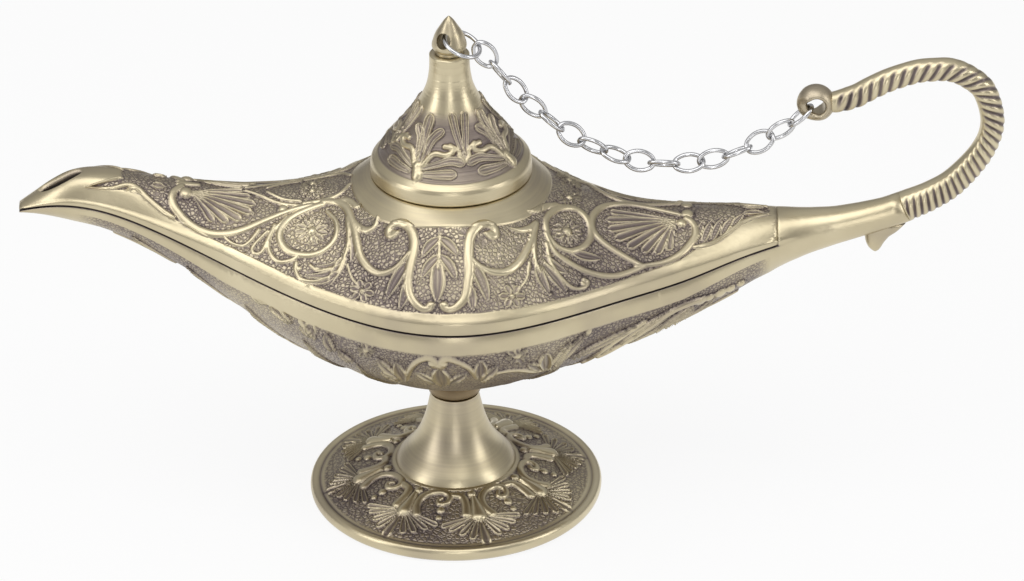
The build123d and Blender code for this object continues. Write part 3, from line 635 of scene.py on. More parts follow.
def grid_piece(name, grid, marks, material, capped=False):
    """A closed piece over a grid of points that closes on itself."""
    return closed_piece(name, grid.reshape(-1, 3), wrapped_faces(grid.shape, capped), marks, material)


heaviest = 196000


def thinned(piece):
    """The same piece with its triangles kept for the chased work and spared where it is plain."""
    name, heavy = piece.name, piece.data
    heavy.calc_loop_triangles()
    cut = piece.modifiers.new("thin", "DECIMATE")
    cut.ratio = min(1.0, heaviest / len(heavy.loop_triangles))
    cut.use_collapse_triangulate = True
    ready = bpy.context.evaluated_depsgraph_get()
    light = bpy.data.meshes.new_from_object(
        piece.evaluated_get(ready), preserve_all_data_layers=True, depsgraph=ready
    )
    piece.modifiers.clear()
    piece.data = light
    bpy.data.meshes.remove(heavy)
    light.name = name


# Colours from the deepest recess to the most rubbed edge
patina = [
    (0.0, (0.050, 0.038, 0.036)), (0.22, (0.185, 0.150, 0.138)), (0.48, (0.395, 0.338, 0.262)),
    (0.75, (0.58, 0.505, 0.34)), (1.0, (0.70, 0.62, 0.43)),
]
# The same colours with darker middle tones: painted shade for the neck under the bowl's keel.
shaded_patina = patina[:2] + [(0.48, (0.22, 0.165, 0.10)), (0.75, (0.36, 0.28, 0.17))] + patina[4:]


blotch_scale, grit_scale, tool_scale, plain_shade = 48.0, 900.0, 1700.0, 0.70
blotch_swing, tool_swing, dull, polished = 0.9, 0.24, 0.52, 0.29
grain_edge, grain_light, grain_dark, grit = 0.24, 0.30, -0.13, 0.22


def brass(name, chased=True, turned=False, pebbles=1280.0, colours=patina):
    """Antique brass: bright on raised metal, brown where hands and cloths don't reach; the tone mark also
    carries painted shade.
    """
    stuff, tree, skin = new_material(name)

    def add(kind, inputs=None, **options):
        return add_node(tree, kind, inputs, **options)

    place = add("TexCoord").outputs["Object"]
    blotch = add("TexNoise", {"Scale": blotch_scale, "Detail": 3.0, "Vector": place}).outputs["Fac"]
    fine = add("TexNoise", {"Scale": grit_scale, "Detail": 3.0, "Vector": place}).outputs["Fac"]
    height, shade = fine, plain_shade
    if chased:
        tone = add("Attribute", attribute_name="tone").outputs["Fac"]
        pebble = add("Attribute", attribute_name="pebble").outputs["Fac"]
        grains = add("TexVoronoi", {"Scale": pebbles, "Vector": place}, feature="DISTANCE_TO_EDGE")
        grain_gap = {"From Max": grain_edge, "Value": grains.outputs["Distance"]}
        domes = add("MapRange", grain_gap, interpolation_type="SMOOTHSTEP")
        bed = reckoned(tree, "MULTIPLY", domes.outputs[0], pebble)
        gaps = reckoned(tree, "MULTIPLY_ADD", bed, grain_light, tone)
        shade = reckoned(tree, "MULTIPLY_ADD", pebble, grain_dark, gaps)
        height = reckoned(tree, "MULTIPLY_ADD", fine, grit, bed)
    mixed = reckoned(tree, "MULTIPLY_ADD", blotch, blotch_swing, shade)
    level = reckoned(tree, "SUBTRACT", mixed, blotch_swing / 2)
    if turned:
        upright = add("SeparateXYZ", {0: place}).outputs["Z"]
        flat = add("VectorMath", {0: place, 1: (1, 1, 0)}, operation="MULTIPLY")
        out_r = add("VectorMath", {0: flat.outputs[0]}, operation="LENGTH").outputs["Value"]
        ring = add("CombineXYZ", {0: out_r, 2: upright})
        tool = {"Scale": tool_scale, "Detail": 2.0, "Vector": ring.outputs[0]}
        height = add("TexNoise", tool).outputs["Fac"]
        streaked = reckoned(tree, "MULTIPLY_ADD", height, tool_swing, level)
        level = reckoned(tree, "SUBTRACT", streaked, tool_swing / 2)
    paint = add("ValToRGB", {"Fac": level})
    stops = paint.color_ramp.elements
    stops[0].color, stops[1].color = (*colours[0][1], 1), (*colours[-1][1], 1)
    for at, colour in colours[1:-1]:
        stops.new(at).color = (*colour, 1)
    gloss = add("MapRange", {"To Min": dull, "To Max": polished, "Value": level})
    metal = add("MapRange", {"From Max": 0.4, "To Min": 0.55, "Value": level})
    strength, deep = (0.55, 0.00022) if chased else (0.10, 0.00006)
    bump = add("Bump", {"Strength": strength, "Distance": deep, "Height": height})
    fed = {"Base Color": paint, "Roughness": gloss, "Metallic": metal, "Normal": bump}
    for socket, source in fed.items():
        tree.links.new(source.outputs[0], skin.inputs[socket])
    return stuff


def both_sides(before, shape, shared):
    """Point numbers of a grid and of its mirror image, which share their last points in some rows."""
    near = np.arange(shape[0] * shape[1]).reshape(shape[:2]) + before
    far = near + near.size
    far[shared, -1] = near[shared, -1]
    return near, far


def edge_faces(outside, inside, column=0):
    """Faces that join the same edge of two grids."""
    a, b = outside[:, column], inside[:, column]
    return np.stack([a[:-1], a[1:], b[1:], b[:-1]], -1)


def end_loop(near, far, end):
    """The points round one end of a casting, from one side's edge to the other's."""
    return np.concatenate([near[end], far[end, -2::-1]])


chased_brass = brass("chased_brass")
closed = opening <= 0
front_no, behind_no = both_sides(0, outer.shape, closed)
inside_no, inside_behind_no = both_sides(2 * front_no.size, inner.shape, closed)
other_side = np.array([1, -1, 1])
points = np.concatenate([g.reshape(-1, 3) for g in (front, front * other_side, inner, inner * other_side)])
faces = [f for g in (front_no, behind_no, inside_no, inside_behind_no) for f in face_rows(g)]
for a, b in ((front_no, inside_no), (behind_no, inside_behind_no)):
    faces += list(edge_faces(a, b))
    faces += list(edge_faces(a, b, -1)[~(closed[:-1] & closed[1:])])
for end in (0, -1):
    faces.append(end_loop(front_no, behind_no, end))
    faces.append(end_loop(inside_no, inside_behind_no, end))
    faces.append([front_no[end, 0], behind_no[end, 0], inside_behind_no[end, 0], inside_no[end, 0]])
quiet = np.zeros(inside_no.size)
marks = {
    "tone": np.concatenate([tone.ravel(), tone.ravel(), quiet + 0.2, quiet + 0.2]),
    "pebble": np.concatenate([pebbled.ravel(), pebbled.ravel(), quiet, quiet]),
}
cover = closed_piece("cover_casting", points, faces, marks, chased_brass)
thinned(cover)
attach(cover, "base")
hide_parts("cover")


def turned_grid(profile, turns):
    """Points of a turned shape: one column for each bearing, rows from the outer edge inward."""
    profile = np.asarray(profile, float)
    a = np.linspace(0, 2 * math.pi, turns, endpoint=False)
    x, y = np.outer(np.cos(a), profile[:, 0]), np.outer(np.sin(a), profile[:, 0])
    return np.stack([x, y, np.tile(profile[:, 1], (turns, 1))], -1)


def rounded(corners, r, steps=4):
    """A closed outline whose corners are rounded off."""
    corners = np.asarray(corners, float)
    out = []
    for before, here, after in zip(np.roll(corners, 1, 0), corners, np.roll(corners, -1, 0)):
        from_a, to_b = np.linalg.norm(before - here), np.linalg.norm(after - here)
        a = here + (before - here) / from_a * min(r, from_a / 2.1)
        b = here + (after - here) / to_b * min(r, to_b / 2.1)
        for t in np.linspace(0, 1, steps):
            out.append((1 - t) ** 2 * a + 2 * t * (1 - t) * here + t * t * b)
    return np.array(out)


# Collar: the turned seat on the cover for the lid, a short cone round the filler opening that
# sweeps down into the chased field. It is one casting with the cover and left smooth.
turned_brass = brass("turned_brass", chased=False, turned=True)
collar_turns, collar_lap, collar_dip, collar_thick, filler_r = 240, 0.25, 0.2, 1.2, 15.0
slope_r = np.linspace(seat_r, seat_edge_r + collar_lap, 14)
slope = turned_grid(np.stack([slope_r, np.zeros_like(slope_r)], -1), collar_turns)
slope[:, :, 2] = seat_height(slope[:, :, 0], slope[:, :, 1])
slope[:, -1, 2] -= collar_dip
sunk = slope[:, -2:] - np.array([0, 0, collar_thick])
bore_wall = turned_grid([(filler_r, 71.6), (filler_r, 76.2), (15.2, seat_z)], collar_turns)
collar = grid_piece("collar", np.concatenate([slope, sunk[:, ::-1], bore_wall], 1), {}, turned_brass)
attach(collar, "base")

# Bowl: the lower casting. The same outline runs on below the seam, a smooth band first and then
# a chased field; at the back it closes into the arm that carries the handle.
bowl_x = np.concatenate([np.linspace(tip_x, -74, 50), np.linspace(-73.72, arm_start, 520)])
bowl_sizes = smooth_through(bowl_x)
low_rows, low_skin = 136, 14
lower = np.zeros((len(bowl_x), low_rows, 3))
turn_steps = np.linspace(0, math.pi / 2, 200)
for i, (x, size) in enumerate(zip(bowl_x, bowl_sizes)):
    half, seam, ridge, keel, power = size
    fade = slimming(half)
    band = lower_band_h * fade
    strip = np.array([
        (half - ledge * fade, seam - seam_gap), (half, seam - seam_gap - ledge), (half, seam - band * 0.5),
        (half, seam - band + 0.12), (half - 0.07, seam - band - 0.02),
    ])
    strip = np.concatenate([strip[:1], even_steps(strip[1:], low_skin - 1)])
    crest, belly_top = half - 0.07, seam - band - 0.02
    belly_z = belly_top - (belly_top - keel) * np.sin(turn_steps) ** 1.6
    belly = even_steps(np.stack([crest * np.cos(turn_steps), belly_z], -1), low_rows - low_skin + 1)[1:]
    lower[i, :, 0] = x
    lower[i, :, 1:] = np.concatenate([strip, belly])
lower[:, :, 1] *= -1
unseen = 9999
below_seen = seen_at(lower.reshape(-1, 3))
facing = (-grid_normals(lower).reshape(-1, 3)) @ back
below_seen[facing < 0.03] = unseen
worked = Chasing(lower, below_seen, bowl_bold)
# The bowl's ornament, given as the cover's is: the middle, leaf sprays, then the trailing stems
palmette_strokes = [
    # Palmette under the middle, between two volutes
    ("leaf", [(443.2, 386.0), (440.6, 377.5), (439.2, 368.8)], 1.5),
    ("leaf", [(436.5, 384.5), (425, 377.5), (415.8, 372.2)], 0.95),
    ("leaf", [(449.5, 384.5), (459, 378.5), (466.0, 374.0)], 0.95),
    ("vine", [(434.5, 366.0), (432.6, 361.0), (428.0, 358.4), (418, 361.5), (410, 369.5),
     (406.5, 379.2)], 0.9, 0.45, 0.6),
    ("vine", [(441.0, 367.0), (443.2, 361.6), (447.0, 359.4), (459, 363.2), (469.4, 368.9),
     (476.2, 377.5)], 0.9, 0.45, 0.6),
    ("bead", (432.0, 364.0), 0.95),
    ("bead", (443.6, 364.4), 0.95),
]
spray_leaves, spray_wide, spray_top = [
    ([(405, 381), (400, 372), (396, 362)], 1.05), ([(402, 381), (388, 370), (377, 358)], 0.95),
    ([(399, 382), (388, 375), (381, 369)], 0.8), ([(480, 379.5), (481, 370), (480.4, 360.5)], 1.05),
    ([(482, 381), (490, 373), (497, 366)], 0.95), ([(546, 369.5), (545, 361), (546, 353.6)], 1.15),
    ([(549, 369.6), (560, 357), (571, 343)], 0.95), ([(553, 368), (570, 350), (588, 332.5)], 0.85),
    ([(541, 370), (534, 366), (528, 364)], 0.8), ([(569, 359.8), (602, 343), (643, 323.2)], 0.9),
    ([(618, 346), (642, 329), (668, 311.5)], 1.0), ([(628, 341), (650, 326), (676, 309)], 0.95),
    ([(306.5, 332), (311, 326), (314.5, 338.7)], 0.8), ([(334, 352), (328, 343), (326, 334)], 0.85),
    ([(300, 324.6), (306, 331), (315, 339.2)], 0.7), ([(352, 362), (345, 357), (338, 351)], 0.8),
    ([(270, 306), (280, 314), (292, 325)], 0.85), ([(246, 288), (256, 297), (268, 305)], 0.8),
], 1.1, 0.85
trail_strokes = [
    ("vine", [(484, 381.5), (496, 373.6), (515.6, 370.6), (533, 372.0), (548, 369)], 0.5, 0.6, 0.55),
    ("vine", [(300, 322), (306, 330), (314, 338)], 0.5, 0.3, 0.5),
    ("vine", [(583, 363.4), (616, 340.5), (644, 322)], 0.35, 0.55, 0.75),
    ("vine", [(598, 356.4), (638, 334), (670, 312), (688, 304), (700, 300)], 0.4, 0.7, 0.85, 0.1),
    ("fan", (690, 307), (690, 305), 2, [(656, 331.6, 1.0), (665, 328.2, 1.0), (674, 324.0, 1.0),
     (683, 318.6, 1.0)], 0.8, "leaf"),
    ("bead", (588.7, 332.1), 0.8),
    ("blossom", (517.6, 356.2), 11.5, 8.6, 7, 0.8, "flute", 0.2, 0.62),
    ("blossom", (366.0, 350.4), 8.5, 7.0, 6, 0.7, "flute", 0.2, 0.62),
    ("bead", (701.4, 301.0), 1.5, 0.7),
    ("bead", (709.5, 297.8), 1.2, 0.7),
    ("bead", (721, 293.4), 1.5, 0.7),
    ("bead", (731, 288.8), 1.2, 0.7),
    ("bead", (741, 283.6), 1.0, 0.7),
]
worked.draw(palmette_strokes)
for points, wide in spray_leaves:
    worked.leaf(points, spray_wide * wide, spray_top)
worked.draw(trail_strokes)


def under(x, share):
    """A place on the lower casting: along the body, and from the band (0) to the keel (1)."""
    i = int(np.argmin(np.abs(bowl_x - x)))
    return lower[i, int(round(low_skin + share * (low_rows - 1 - low_skin)))]


# Leaf sprays and a keel vine underneath, in the manner of the side that shows
worked.find = None
for x in (-34, -22, -11, 14, 25, 36, 46, -46, -57):
    way = math.copysign(1, x)
    for share, reach, wide in ((0.30, 9.0, 0.95), (0.46, 8.0, 1.0), (0.62, 7.0, 0.9)):
        base, tip = under(x, 0.78), under(x + way * reach, share)
        middle = under(x + way * reach * 0.5, (0.78 + share) / 2 + 0.06)
        worked.leaf([base, middle, tip], wide, 0.5)
keel_vine = [under(x, 0.80 + 0.07 * math.sin(x * 0.42)) for x in np.arange(-70, 62, 3.0)]
worked.vine(keel_vine, 0.5, 0.5, 0.5)
row_no = np.tile(np.arange(low_rows), (len(bowl_x), 1)).reshape(-1)
low_field = unit((row_no - low_skin - 0.3) / 3.0)
bowl_sunk, field_from, field_to, neck_r = 0.26, -78, 66.0, 6.4
along = worked.at[:, 0]
low_field *= unit((along - field_from) / 5) * unit((field_to - along) / 3)
low_field *= unit((np.hypot(along, worked.at[:, 1]) - neck_r) / 0.8)
low_rise = low_field * (worked.high - bowl_sunk)
low_tone = (worked.tone - 0.05 * worked.bare) * low_field + plain_tone * (1 - low_field)
# The lip at the seam is painted black: painted shade in the gap between bowl and cover.
low_tone[row_no == 0] = 0.0
low_front = lower - grid_normals(lower) * low_rise.reshape(lower.shape[:2])[..., None]
low_rows_in = np.array([0, 8, 28, 54, 84, 110, low_rows - 1])
bowl_wall, bowl_shrink = 1.9, 0.972
wall = np.minimum(bowl_wall, bowl_sizes[:, 0] * 0.38)
hollow = lower[:, low_rows_in].copy()
hollow[:, :, 0] *= bowl_shrink
hollow[:, :, 1] *= ((bowl_sizes[:, 0] - wall) / bowl_sizes[:, 0])[:, None]
top = bowl_sizes[:, 1] - seam_gap
depth = top - bowl_sizes[:, 3]
drop = (depth - np.minimum(wall * 1.15, depth * 0.4)) / depth
hollow[:, :, 2] = top[:, None] + (lower[:, low_rows_in, 2] - top[:, None]) * drop[:, None]

# Arm, one casting with the bowl: the body's last section flows into an oval bar
half, seam, ridge, keel, power = smooth_through(np.array([arm_start]))[0]
fade = slimming(half)
crown_y = (half - bevel_h * fade) * np.cos(np.linspace(0, math.pi, 40))
crown_foot = seam + (band_h + bevel_h) * fade
crown_z = crown_foot + (ridge - crown_foot) * (1 - crown_fall(crown_y / crown_y[0]) ** power)
edge = np.array([(half, seam + band_h * fade * 0.5), (half, seam + band_h * fade)])
upper = np.concatenate([edge, np.stack([crown_y, crown_z], -1), edge[::-1] * np.array([-1, 1])])
# Loop order: front rim, down to the keel, up the back to its rim, then over the top to the front
end_front = low_front[-1, :, 1:]
end_back = end_front[-2::-1] * np.array([-1, 1])
section = np.concatenate([end_front, end_back, upper])
arm_mid, arm_wide, arm_tall = 59.7, 6.14, 6.5
arm_sizes = np.array([
    (arm_start, arm_mid, arm_wide, arm_tall), (70.5, 60.6, 5.4, 5.7), (74, 61.4, 4.6, 4.9),
    (79, 62.4, 3.95, 4.1), (85, 63.95, 3.5, 3.5), (90, 65.3, 3.2, 3.2), (arm_end, 66.9, 3.1, 3.02),
])
arm_x = np.linspace(arm_start, arm_end, 56)
arm_at = np.stack([np.interp(arm_x, arm_sizes[:, 0], arm_sizes[:, c]) for c in (1, 2, 3)], -1)
for _ in range(6):
    arm_at[1:-1] = (arm_at[:-2] + 2 * arm_at[1:-1] + arm_at[2:]) / 4
angle = np.arctan2((section[:, 1] - arm_mid) / arm_tall, section[:, 0] / arm_wide)
arm = np.zeros((len(arm_x), len(section), 3))
blend_long, tilt_from, tilt_over, full_tilt = 4.5, 80, 14, math.tan(math.radians(24.0))
for i, (x, (zc, ry, rz)) in enumerate(zip(arm_x, arm_at)):
    t = unit((x - arm_start) / blend_long)
    t = t * t * (3 - 2 * t)
    scale = np.array([ry / arm_wide, rz / arm_tall])
    shaped = (section - np.array([0, arm_mid])) * scale + np.array([0, zc])
    oval = np.stack([ry * np.cos(angle), zc + rz * np.sin(angle)], -1)
    both = shaped * (1 - t) + oval * t
    tilt = full_tilt * unit((x - tilt_from) / tilt_over)
    arm[i, :, 0] = x - tilt * (both[:, 1] - zc)
    arm[i, :, 1:] = both
out_front, out_back = both_sides(0, lower.shape, slice(None))
in_front, in_back = both_sides(2 * out_front.size, hollow.shape, slice(None))
arm_no = np.arange(arm.shape[0] * arm.shape[1]).reshape(arm.shape[:2]) + 2 * (out_front.size + in_front.size)
arm_no[0] = np.concatenate([end_loop(out_front, out_back, -1), arm_no[0, 2 * low_rows - 1 :]])
arm_loop = np.concatenate([arm_no, arm_no[:, :1]], 1)
points = np.concatenate([
    low_front.reshape(-1, 3), low_front.reshape(-1, 3) * other_side, hollow.reshape(-1, 3),
    hollow.reshape(-1, 3) * other_side, arm.reshape(-1, 3),
])
faces = [f for g in (out_front, out_back, in_front, in_back, arm_loop) for f in face_rows(g)]
faces += list(edge_faces(out_front, in_front)) + list(edge_faces(out_back, in_back))
faces.append(end_loop(out_front, out_back, 0))
faces.append(end_loop(in_front, in_back, 0))
faces.append([out_front[0, 0], out_back[0, 0], in_back[0, 0], in_front[0, 0]])
faces.append(end_loop(in_front, in_back, -1))
over_top = arm_no[0, 2 * low_rows - 2 :]
faces.append(np.concatenate([[in_front[-1, 0], in_back[-1, 0]], over_top, arm_no[0, :1]]))
faces.append(arm_no[-1])
plain = np.zeros(2 * in_front.size)
bar = np.zeros(arm_no.size)
low_pebble = (worked.bare * low_field).ravel()
marks = {
    "tone": np.concatenate([low_tone.ravel(), low_tone.ravel(), plain + 0.2, bar + 0.8]),
    "pebble": np.concatenate([low_pebble, low_pebble, plain, bar]),
}
bowl = closed_piece("bowl_casting", points, faces, marks, chased_brass)
thinned(bowl)
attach(bowl, "base")
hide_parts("bowl")

# Neck of the bowl: a short turned boss under the keel that the stem screws up against
# Its brass is the turned brass made darker: painted shade under the keel.
neck_brass = brass("neck_brass", chased=False, turned=True, colours=shaded_patina)
neck_outline = [
    (2.9, 23.86), (4.7, 23.86), (4.7, 24.5), (5.55, 24.5), (5.55, 26.2), (5.9, 28.4), (7.4, 30.6),
    (2.9, 32.0),
]
neck = grid_piece("bowl_neck", turned_grid(rounded(neck_outline, 0.2), 96), {}, neck_brass)
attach(neck, "base")

# Thumb spur: a small hooked leaf cast under the arm, close to the handle
smooth_brass = brass("smooth_brass", chased=False)
spur_rows = [
    (63.0, 85.9, 94.2, 2.2), (61.4, 85.8, 92.7, 2.2), (60.2, 85.75, 91.1, 1.9), (58.7, 86.0, 89.9, 1.6),
    (57.6, 86.5, 89.3, 1.25), (56.9, 87.1, 88.85, 0.85), (56.5, 87.6, 88.4, 0.45),
]
around = np.linspace(0, 2 * math.pi, 24, endpoint=False)
rings = []
for z, near_x, far_x, thick in flow(spur_rows, 4):
    x = (near_x + far_x) / 2 + (far_x - near_x) / 2 * np.cos(around)
    rings.append(np.stack([x, thick * np.sin(around), np.full(len(around), z)], -1))
spur = grid_piece("thumb_spur", np.array(rings), {}, smooth_brass, capped=True)
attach(spur, "base")

# Handle: a cast loop with rope-like twisted ridges that fade along its outer edge, let into the
# arm at one end and ending in a drilled ball at the other.
loop_points = [
    (arm_end, 66.9), (99.4, 69.4), (104.3, 72.9), (109.6, 79.7), (111.5, 86.3), (109.7, 93.4), (106.2, 96.8),
    (102.6, 98.4), (99.3, 98.5), (96.0, 98.2), (92.6, 97.2), (89.5, 96.0), (86.2, 94.3), (83.2, 92.6),
    (79.4, 91.4), (77.0, 91.4),
]
bar_line = even_steps(flow(loop_points, 40), 900)
gone = np.linspace(0, 1, len(bar_line))
length = np.linalg.norm(np.diff(bar_line, axis=0), axis=1).sum()
lane = np.gradient(bar_line, axis=0)
lane /= np.linalg.norm(lane, axis=1)[:, None]
thick = np.interp(gone, [0, 0.33, 0.93, 0.97, 1], [3.3, 2.5, 2.45, 2.25, 2.0])
gap = np.interp(gone, [0, 0.35, 0.6, 1], [1.5, 1.75, 2.2, 2.5])
winding = np.cumsum(length / len(gone) / gap) * 2 * math.pi
round_steps = 64
around = np.linspace(0, 2 * math.pi, round_steps, endpoint=False)
from_outside = np.arctan2(np.sin(around), np.cos(around))
slant = np.interp(gone, [0, 0.25, 0.45, 0.65, 1], [3.3, 4.0, 4.6, 4.0, 3.8])[:, None]
phase = winding[:, None] - slant * np.abs(from_outside)[None]
outward = np.cos(around)[None]
turned_over = unit((gone - 0.50) / 0.12)[:, None]
fade_inside = unit((0.86 + outward) / 0.28)
fade_outside = unit((0.92 - outward) / 0.28)
fadeout = fade_inside * (1 - turned_over) + fade_outside * turned_over
ends = (unit((gone - 0.002) / 0.004) * unit((0.97 - gone) / 0.02))[:, None]
cut = (0.5 - 0.5 * np.cos(phase)) ** 1.9 * fadeout * ends
r = thick[:, None] - 0.44 * cut * (1 - 0.45 * np.abs(outward))
outward = np.cos(around)
side = np.stack([lane[:, 1], -lane[:, 0]], -1)
body = np.zeros((len(bar_line), round_steps, 3))
body[:, :, 0] = bar_line[:, 0, None] + side[:, 0, None] * r * outward
body[:, :, 1] = r * np.sin(around) * 0.97
body[:, :, 2] = bar_line[:, 1, None] + side[:, 1, None] * r * outward
tone = (0.86 - 0.72 * unit(cut * 1.25)).ravel()
marks = {"tone": tone, "pebble": np.zeros(len(tone))}
twist = grid_piece("twisted_handle", body, marks, chased_brass, capped=True)
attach(twist, "base")
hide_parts("handle")
ball_r, hole_r, lip_r, lip_h = 3.97, 1.85, 2.55, 0.8
ball_at = np.array([75.1, 0, 91.2])
link_side = math.radians(215)
ball_rings = []
for bearing in np.linspace(0, 2 * math.pi, 96, endpoint=False):
    off = abs((bearing - link_side + math.pi) % (2 * math.pi) - math.pi)
    full = unit((off - math.radians(35)) / math.radians(55))
    flat = 0.50 + 0.40 * full * full * (3 - 2 * full)
    lip_y = flat * math.sqrt(ball_r**2 - lip_r**2)
    line = [(ball_r * math.cos(a), flat * ball_r * math.sin(a)) for a in np.linspace(-0.86, 0.86, 25)]
    bend = [
        (lip_r - (lip_r - hole_r) * math.sin(a), lip_y - lip_h * (1 - math.cos(a)))
        for a in np.linspace(0.1, 1.57, 8)
    ]
    line += bend + [(r, -y) for r, y in reversed(bend)]
    ball_rings.append([(r * math.cos(bearing), y, r * math.sin(bearing)) for r, y in line])
ball = grid_piece("ball_end", np.array(ball_rings) + ball_at, {}, smooth_brass)
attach(ball, "base")

# Lid: a turned and chased dome. Its band and its neck are left as turned; four palmettes of
# curled fingers, each on a small boss, stand on the cone between, with paired blades between them.
def spun(line, turn):
    """The same line turned about the upright axis."""
    c, d = math.cos(turn), math.sin(turn)
    return line @ np.array([[c, d, 0], [-d, c, 0], [0, 0, 1]])


def turned_normals(grid):
    """Outward normals of a turned grid, its columns joined all round."""
    return grid_normals(np.concatenate([grid[-2:], grid, grid[:2]]))[2:-2]


def turned_marks(skin, hidden, tone, pebble, hidden_tone):
    """Marks for a turned casting: worked on its skin and even on its hidden side."""
    even = np.ones(hidden.shape[:2])
    return {
        "tone": np.concatenate([tone.reshape(skin.shape[:2]), hidden_tone * even], 1).ravel(),
        "pebble": np.concatenate([pebble.reshape(skin.shape[:2]), 0 * even], 1).ravel(),
    }


class Ringed(Chasing):
    """Raised work that repeats round an axis, each motif once more as its own mirror image."""

    def repeat(self, turns, mirror_at=None):
        """Strokes that follow are laid at each of these turns, and mirrored about a bearing."""
        self.turns, self.mirror_at = turns, mirror_at

    def lay(self, line, widths, top, kind):
        lines = [line]
        if self.mirror_at is not None:
            bearing = np.arctan2(line[:, 1], line[:, 0])
            radius = np.hypot(line[:, 0], line[:, 1])
            other = 2 * self.mirror_at - bearing
            lines.append(np.stack([radius * np.cos(other), radius * np.sin(other), line[:, 2]], -1))
        for turn in self.turns:
            for one in lines:
                super().lay(spun(one, turn), widths, top, kind)


lid_edge = [(16.55, 76.62), (16.75, 76.85), (16.72, 78.2), (16.55, 79.4), (16.25, 79.95), (15.75, 80.3)]
lid_cone = [
    (15.35, 80.75), (15.0, 81.2), (13.5, 83), (12.1, 85), (10.5, 87), (8.95, 89), (7.6, 91), (6.4, 93),
    (5.4, 95), (4.7, 97), (4.27, 99.5), (4.15, 101.5), (4.15, 103.3),
]
edge_rows, cone_rows, lid_turns = 22, 178, 460
lid_profile = np.concatenate([
    even_steps(flow(lid_edge, 6), edge_rows), even_steps(flow(lid_cone, 8), cone_rows)[1:], [(3.9, 103.6)],
])
lid_grid = turned_grid(lid_profile, lid_turns)
lid_seen = seen_at(lid_grid.reshape(-1, 3))
lid_seen[(turned_normals(lid_grid).reshape(-1, 3) @ back) < 0.05] = unseen
dome = Ringed(lid_grid, lid_seen)
cone_tone, neck_from_z = 0.34, 93.2
dome.tone[:] = cone_tone
palmette_sides = [
    ("flute", [(424.0, 174.6), (439.2, 175.0), (454.6, 174.6)], 1.35, 0.75, "finger", 0.5),
    ("flute", [(424.3, 168.2), (439.2, 164.2), (451.8, 161.2), (463.2, 163.4)], 1.2, 0.75, "finger", 0.45),
    ("vine", [(423.1, 164.6), (430.0, 156.6), (435.8, 153.7), (445.0, 155.4), (452.4, 152.6),
     (451.8, 148.0), (445.0, 146.8)], 0.72, 0.66, 0.75),
    ("flute", [(422.6, 163.5), (427.6, 149.4), (433.0, 138.8), (442.4, 131.0)], 1.25, 0.75, "finger", 0.42),
]
palmette_middle = [
    ("flute", [(419.6, 164.3), (422.4, 147.4), (426.0, 132.5), (431.2, 115.6)], 1.35, 0.85, "finger", 0.5),
    ("vine", [(417.4, 165.6), (417.2, 175.2)], 1.1, 1.35, 1.05, 0.0, "boss"),
]
# The paired blades that part one palmette from the next, and the curls at their foot
blades = [
    ("flute", [(464.3, 156.0), (457.6, 138.2), (451.4, 113.8)], 1.05, 0.7, "finger", 0.45),
    ("vine", [(474.6, 142.5), (468.5, 149.7), (469.6, 154.3), (466.2, 160.9)], 0.6, 0.45, 0.6),
]
palmette_at, blades_at = math.radians(-120.3), math.radians(-75.4)
quarters = [k * math.pi / 2 for k in range(4)]
for mirror_at, strokes in ((palmette_at, palmette_sides), (None, palmette_middle), (blades_at, blades)):
    dome.repeat(quarters, mirror_at)
    dome.draw(strokes)
row_at = np.tile(np.arange(lid_grid.shape[1]), (lid_grid.shape[0], 1)).reshape(-1)
dome_field = unit((row_at - edge_rows) / 2.5) * unit((neck_from_z - dome.at[:, 2]) / 2.2)
dome_relief, dome_sunk = 0.80, 0.20
dome_rise = dome_relief * dome.high - dome_sunk * dome_field
dome_tone = np.where(dome.bare > 0, dome.tone * dome_field + plain_tone * (1 - dome_field), dome.tone)
skin = lid_grid + turned_normals(lid_grid) * dome_rise.reshape(lid_grid.shape[:2])[..., None]
lid_inside = [
    (1.75, 103.6), (1.7, 100.8), (2.9, 100.6), (3.1, 96), (6.0, 90), (10.3, 84.6), (13.3, 80.6),
    (13.4, 72.95), (14.7, 72.95), (14.9, 73.2), (14.9, 76.5), (15.1, 76.62),
]
hidden = turned_grid(lid_inside, lid_turns)
marks = turned_marks(skin, hidden, dome_tone, np.zeros(len(dome.at)), 0.35)
chased_turned = brass("chased_turned_brass", turned=True)
lid = grid_piece("lid_dome", np.concatenate([skin, hidden], 1), marks, chased_turned)
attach(lid, "lid")
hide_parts("lid")

# Foot: a cast disc, hollow underneath. Eight shell palmettes stand round it, each with a drop
# boss at its root, C-scrolls between them and pairs of beads; its rolled rim is left smooth.
foot_top = [
    (30.25, 0.32), (30.72, 0.85), (30.93, 1.55), (30.88, 2.3), (30.55, 2.9), (29.9, 3.13), (29.3, 2.98),
    (28.95, 2.75),
]
foot_cone = [(28.6, 2.78), (28.0, 3.05), (27.5, 3.3), (20.35, 5.35), (13.2, 7.4)]
foot_profile = np.concatenate([
    even_steps(flow(foot_top, 5), 26), even_steps(np.array(foot_cone), 128)[1:], [(12.0, 7.4), (7.0, 7.4)],
])
foot_turns = 800
foot_grid = turned_grid(foot_profile, foot_turns)
disc = Ringed(foot_grid, seen_at(foot_grid.reshape(-1, 3)))
shell_root, shell_start, shell_top = (478.9, 514.6), 0.25, 0.7
shell_tips = [
    (442.2, 526.9, 0.80), (450.2, 530.6, 0.82), (461.5, 534.6, 0.88), (472.4, 538.6, 0.95),
    (487.6, 543.6, 1.35), (500.2, 533.6, 0.95), (508.6, 528.4, 0.88), (515.2, 521.6, 0.82),
    (519.8, 514.6, 0.78),
]
disc.repeat([k * math.pi / 4 for k in range(8)])
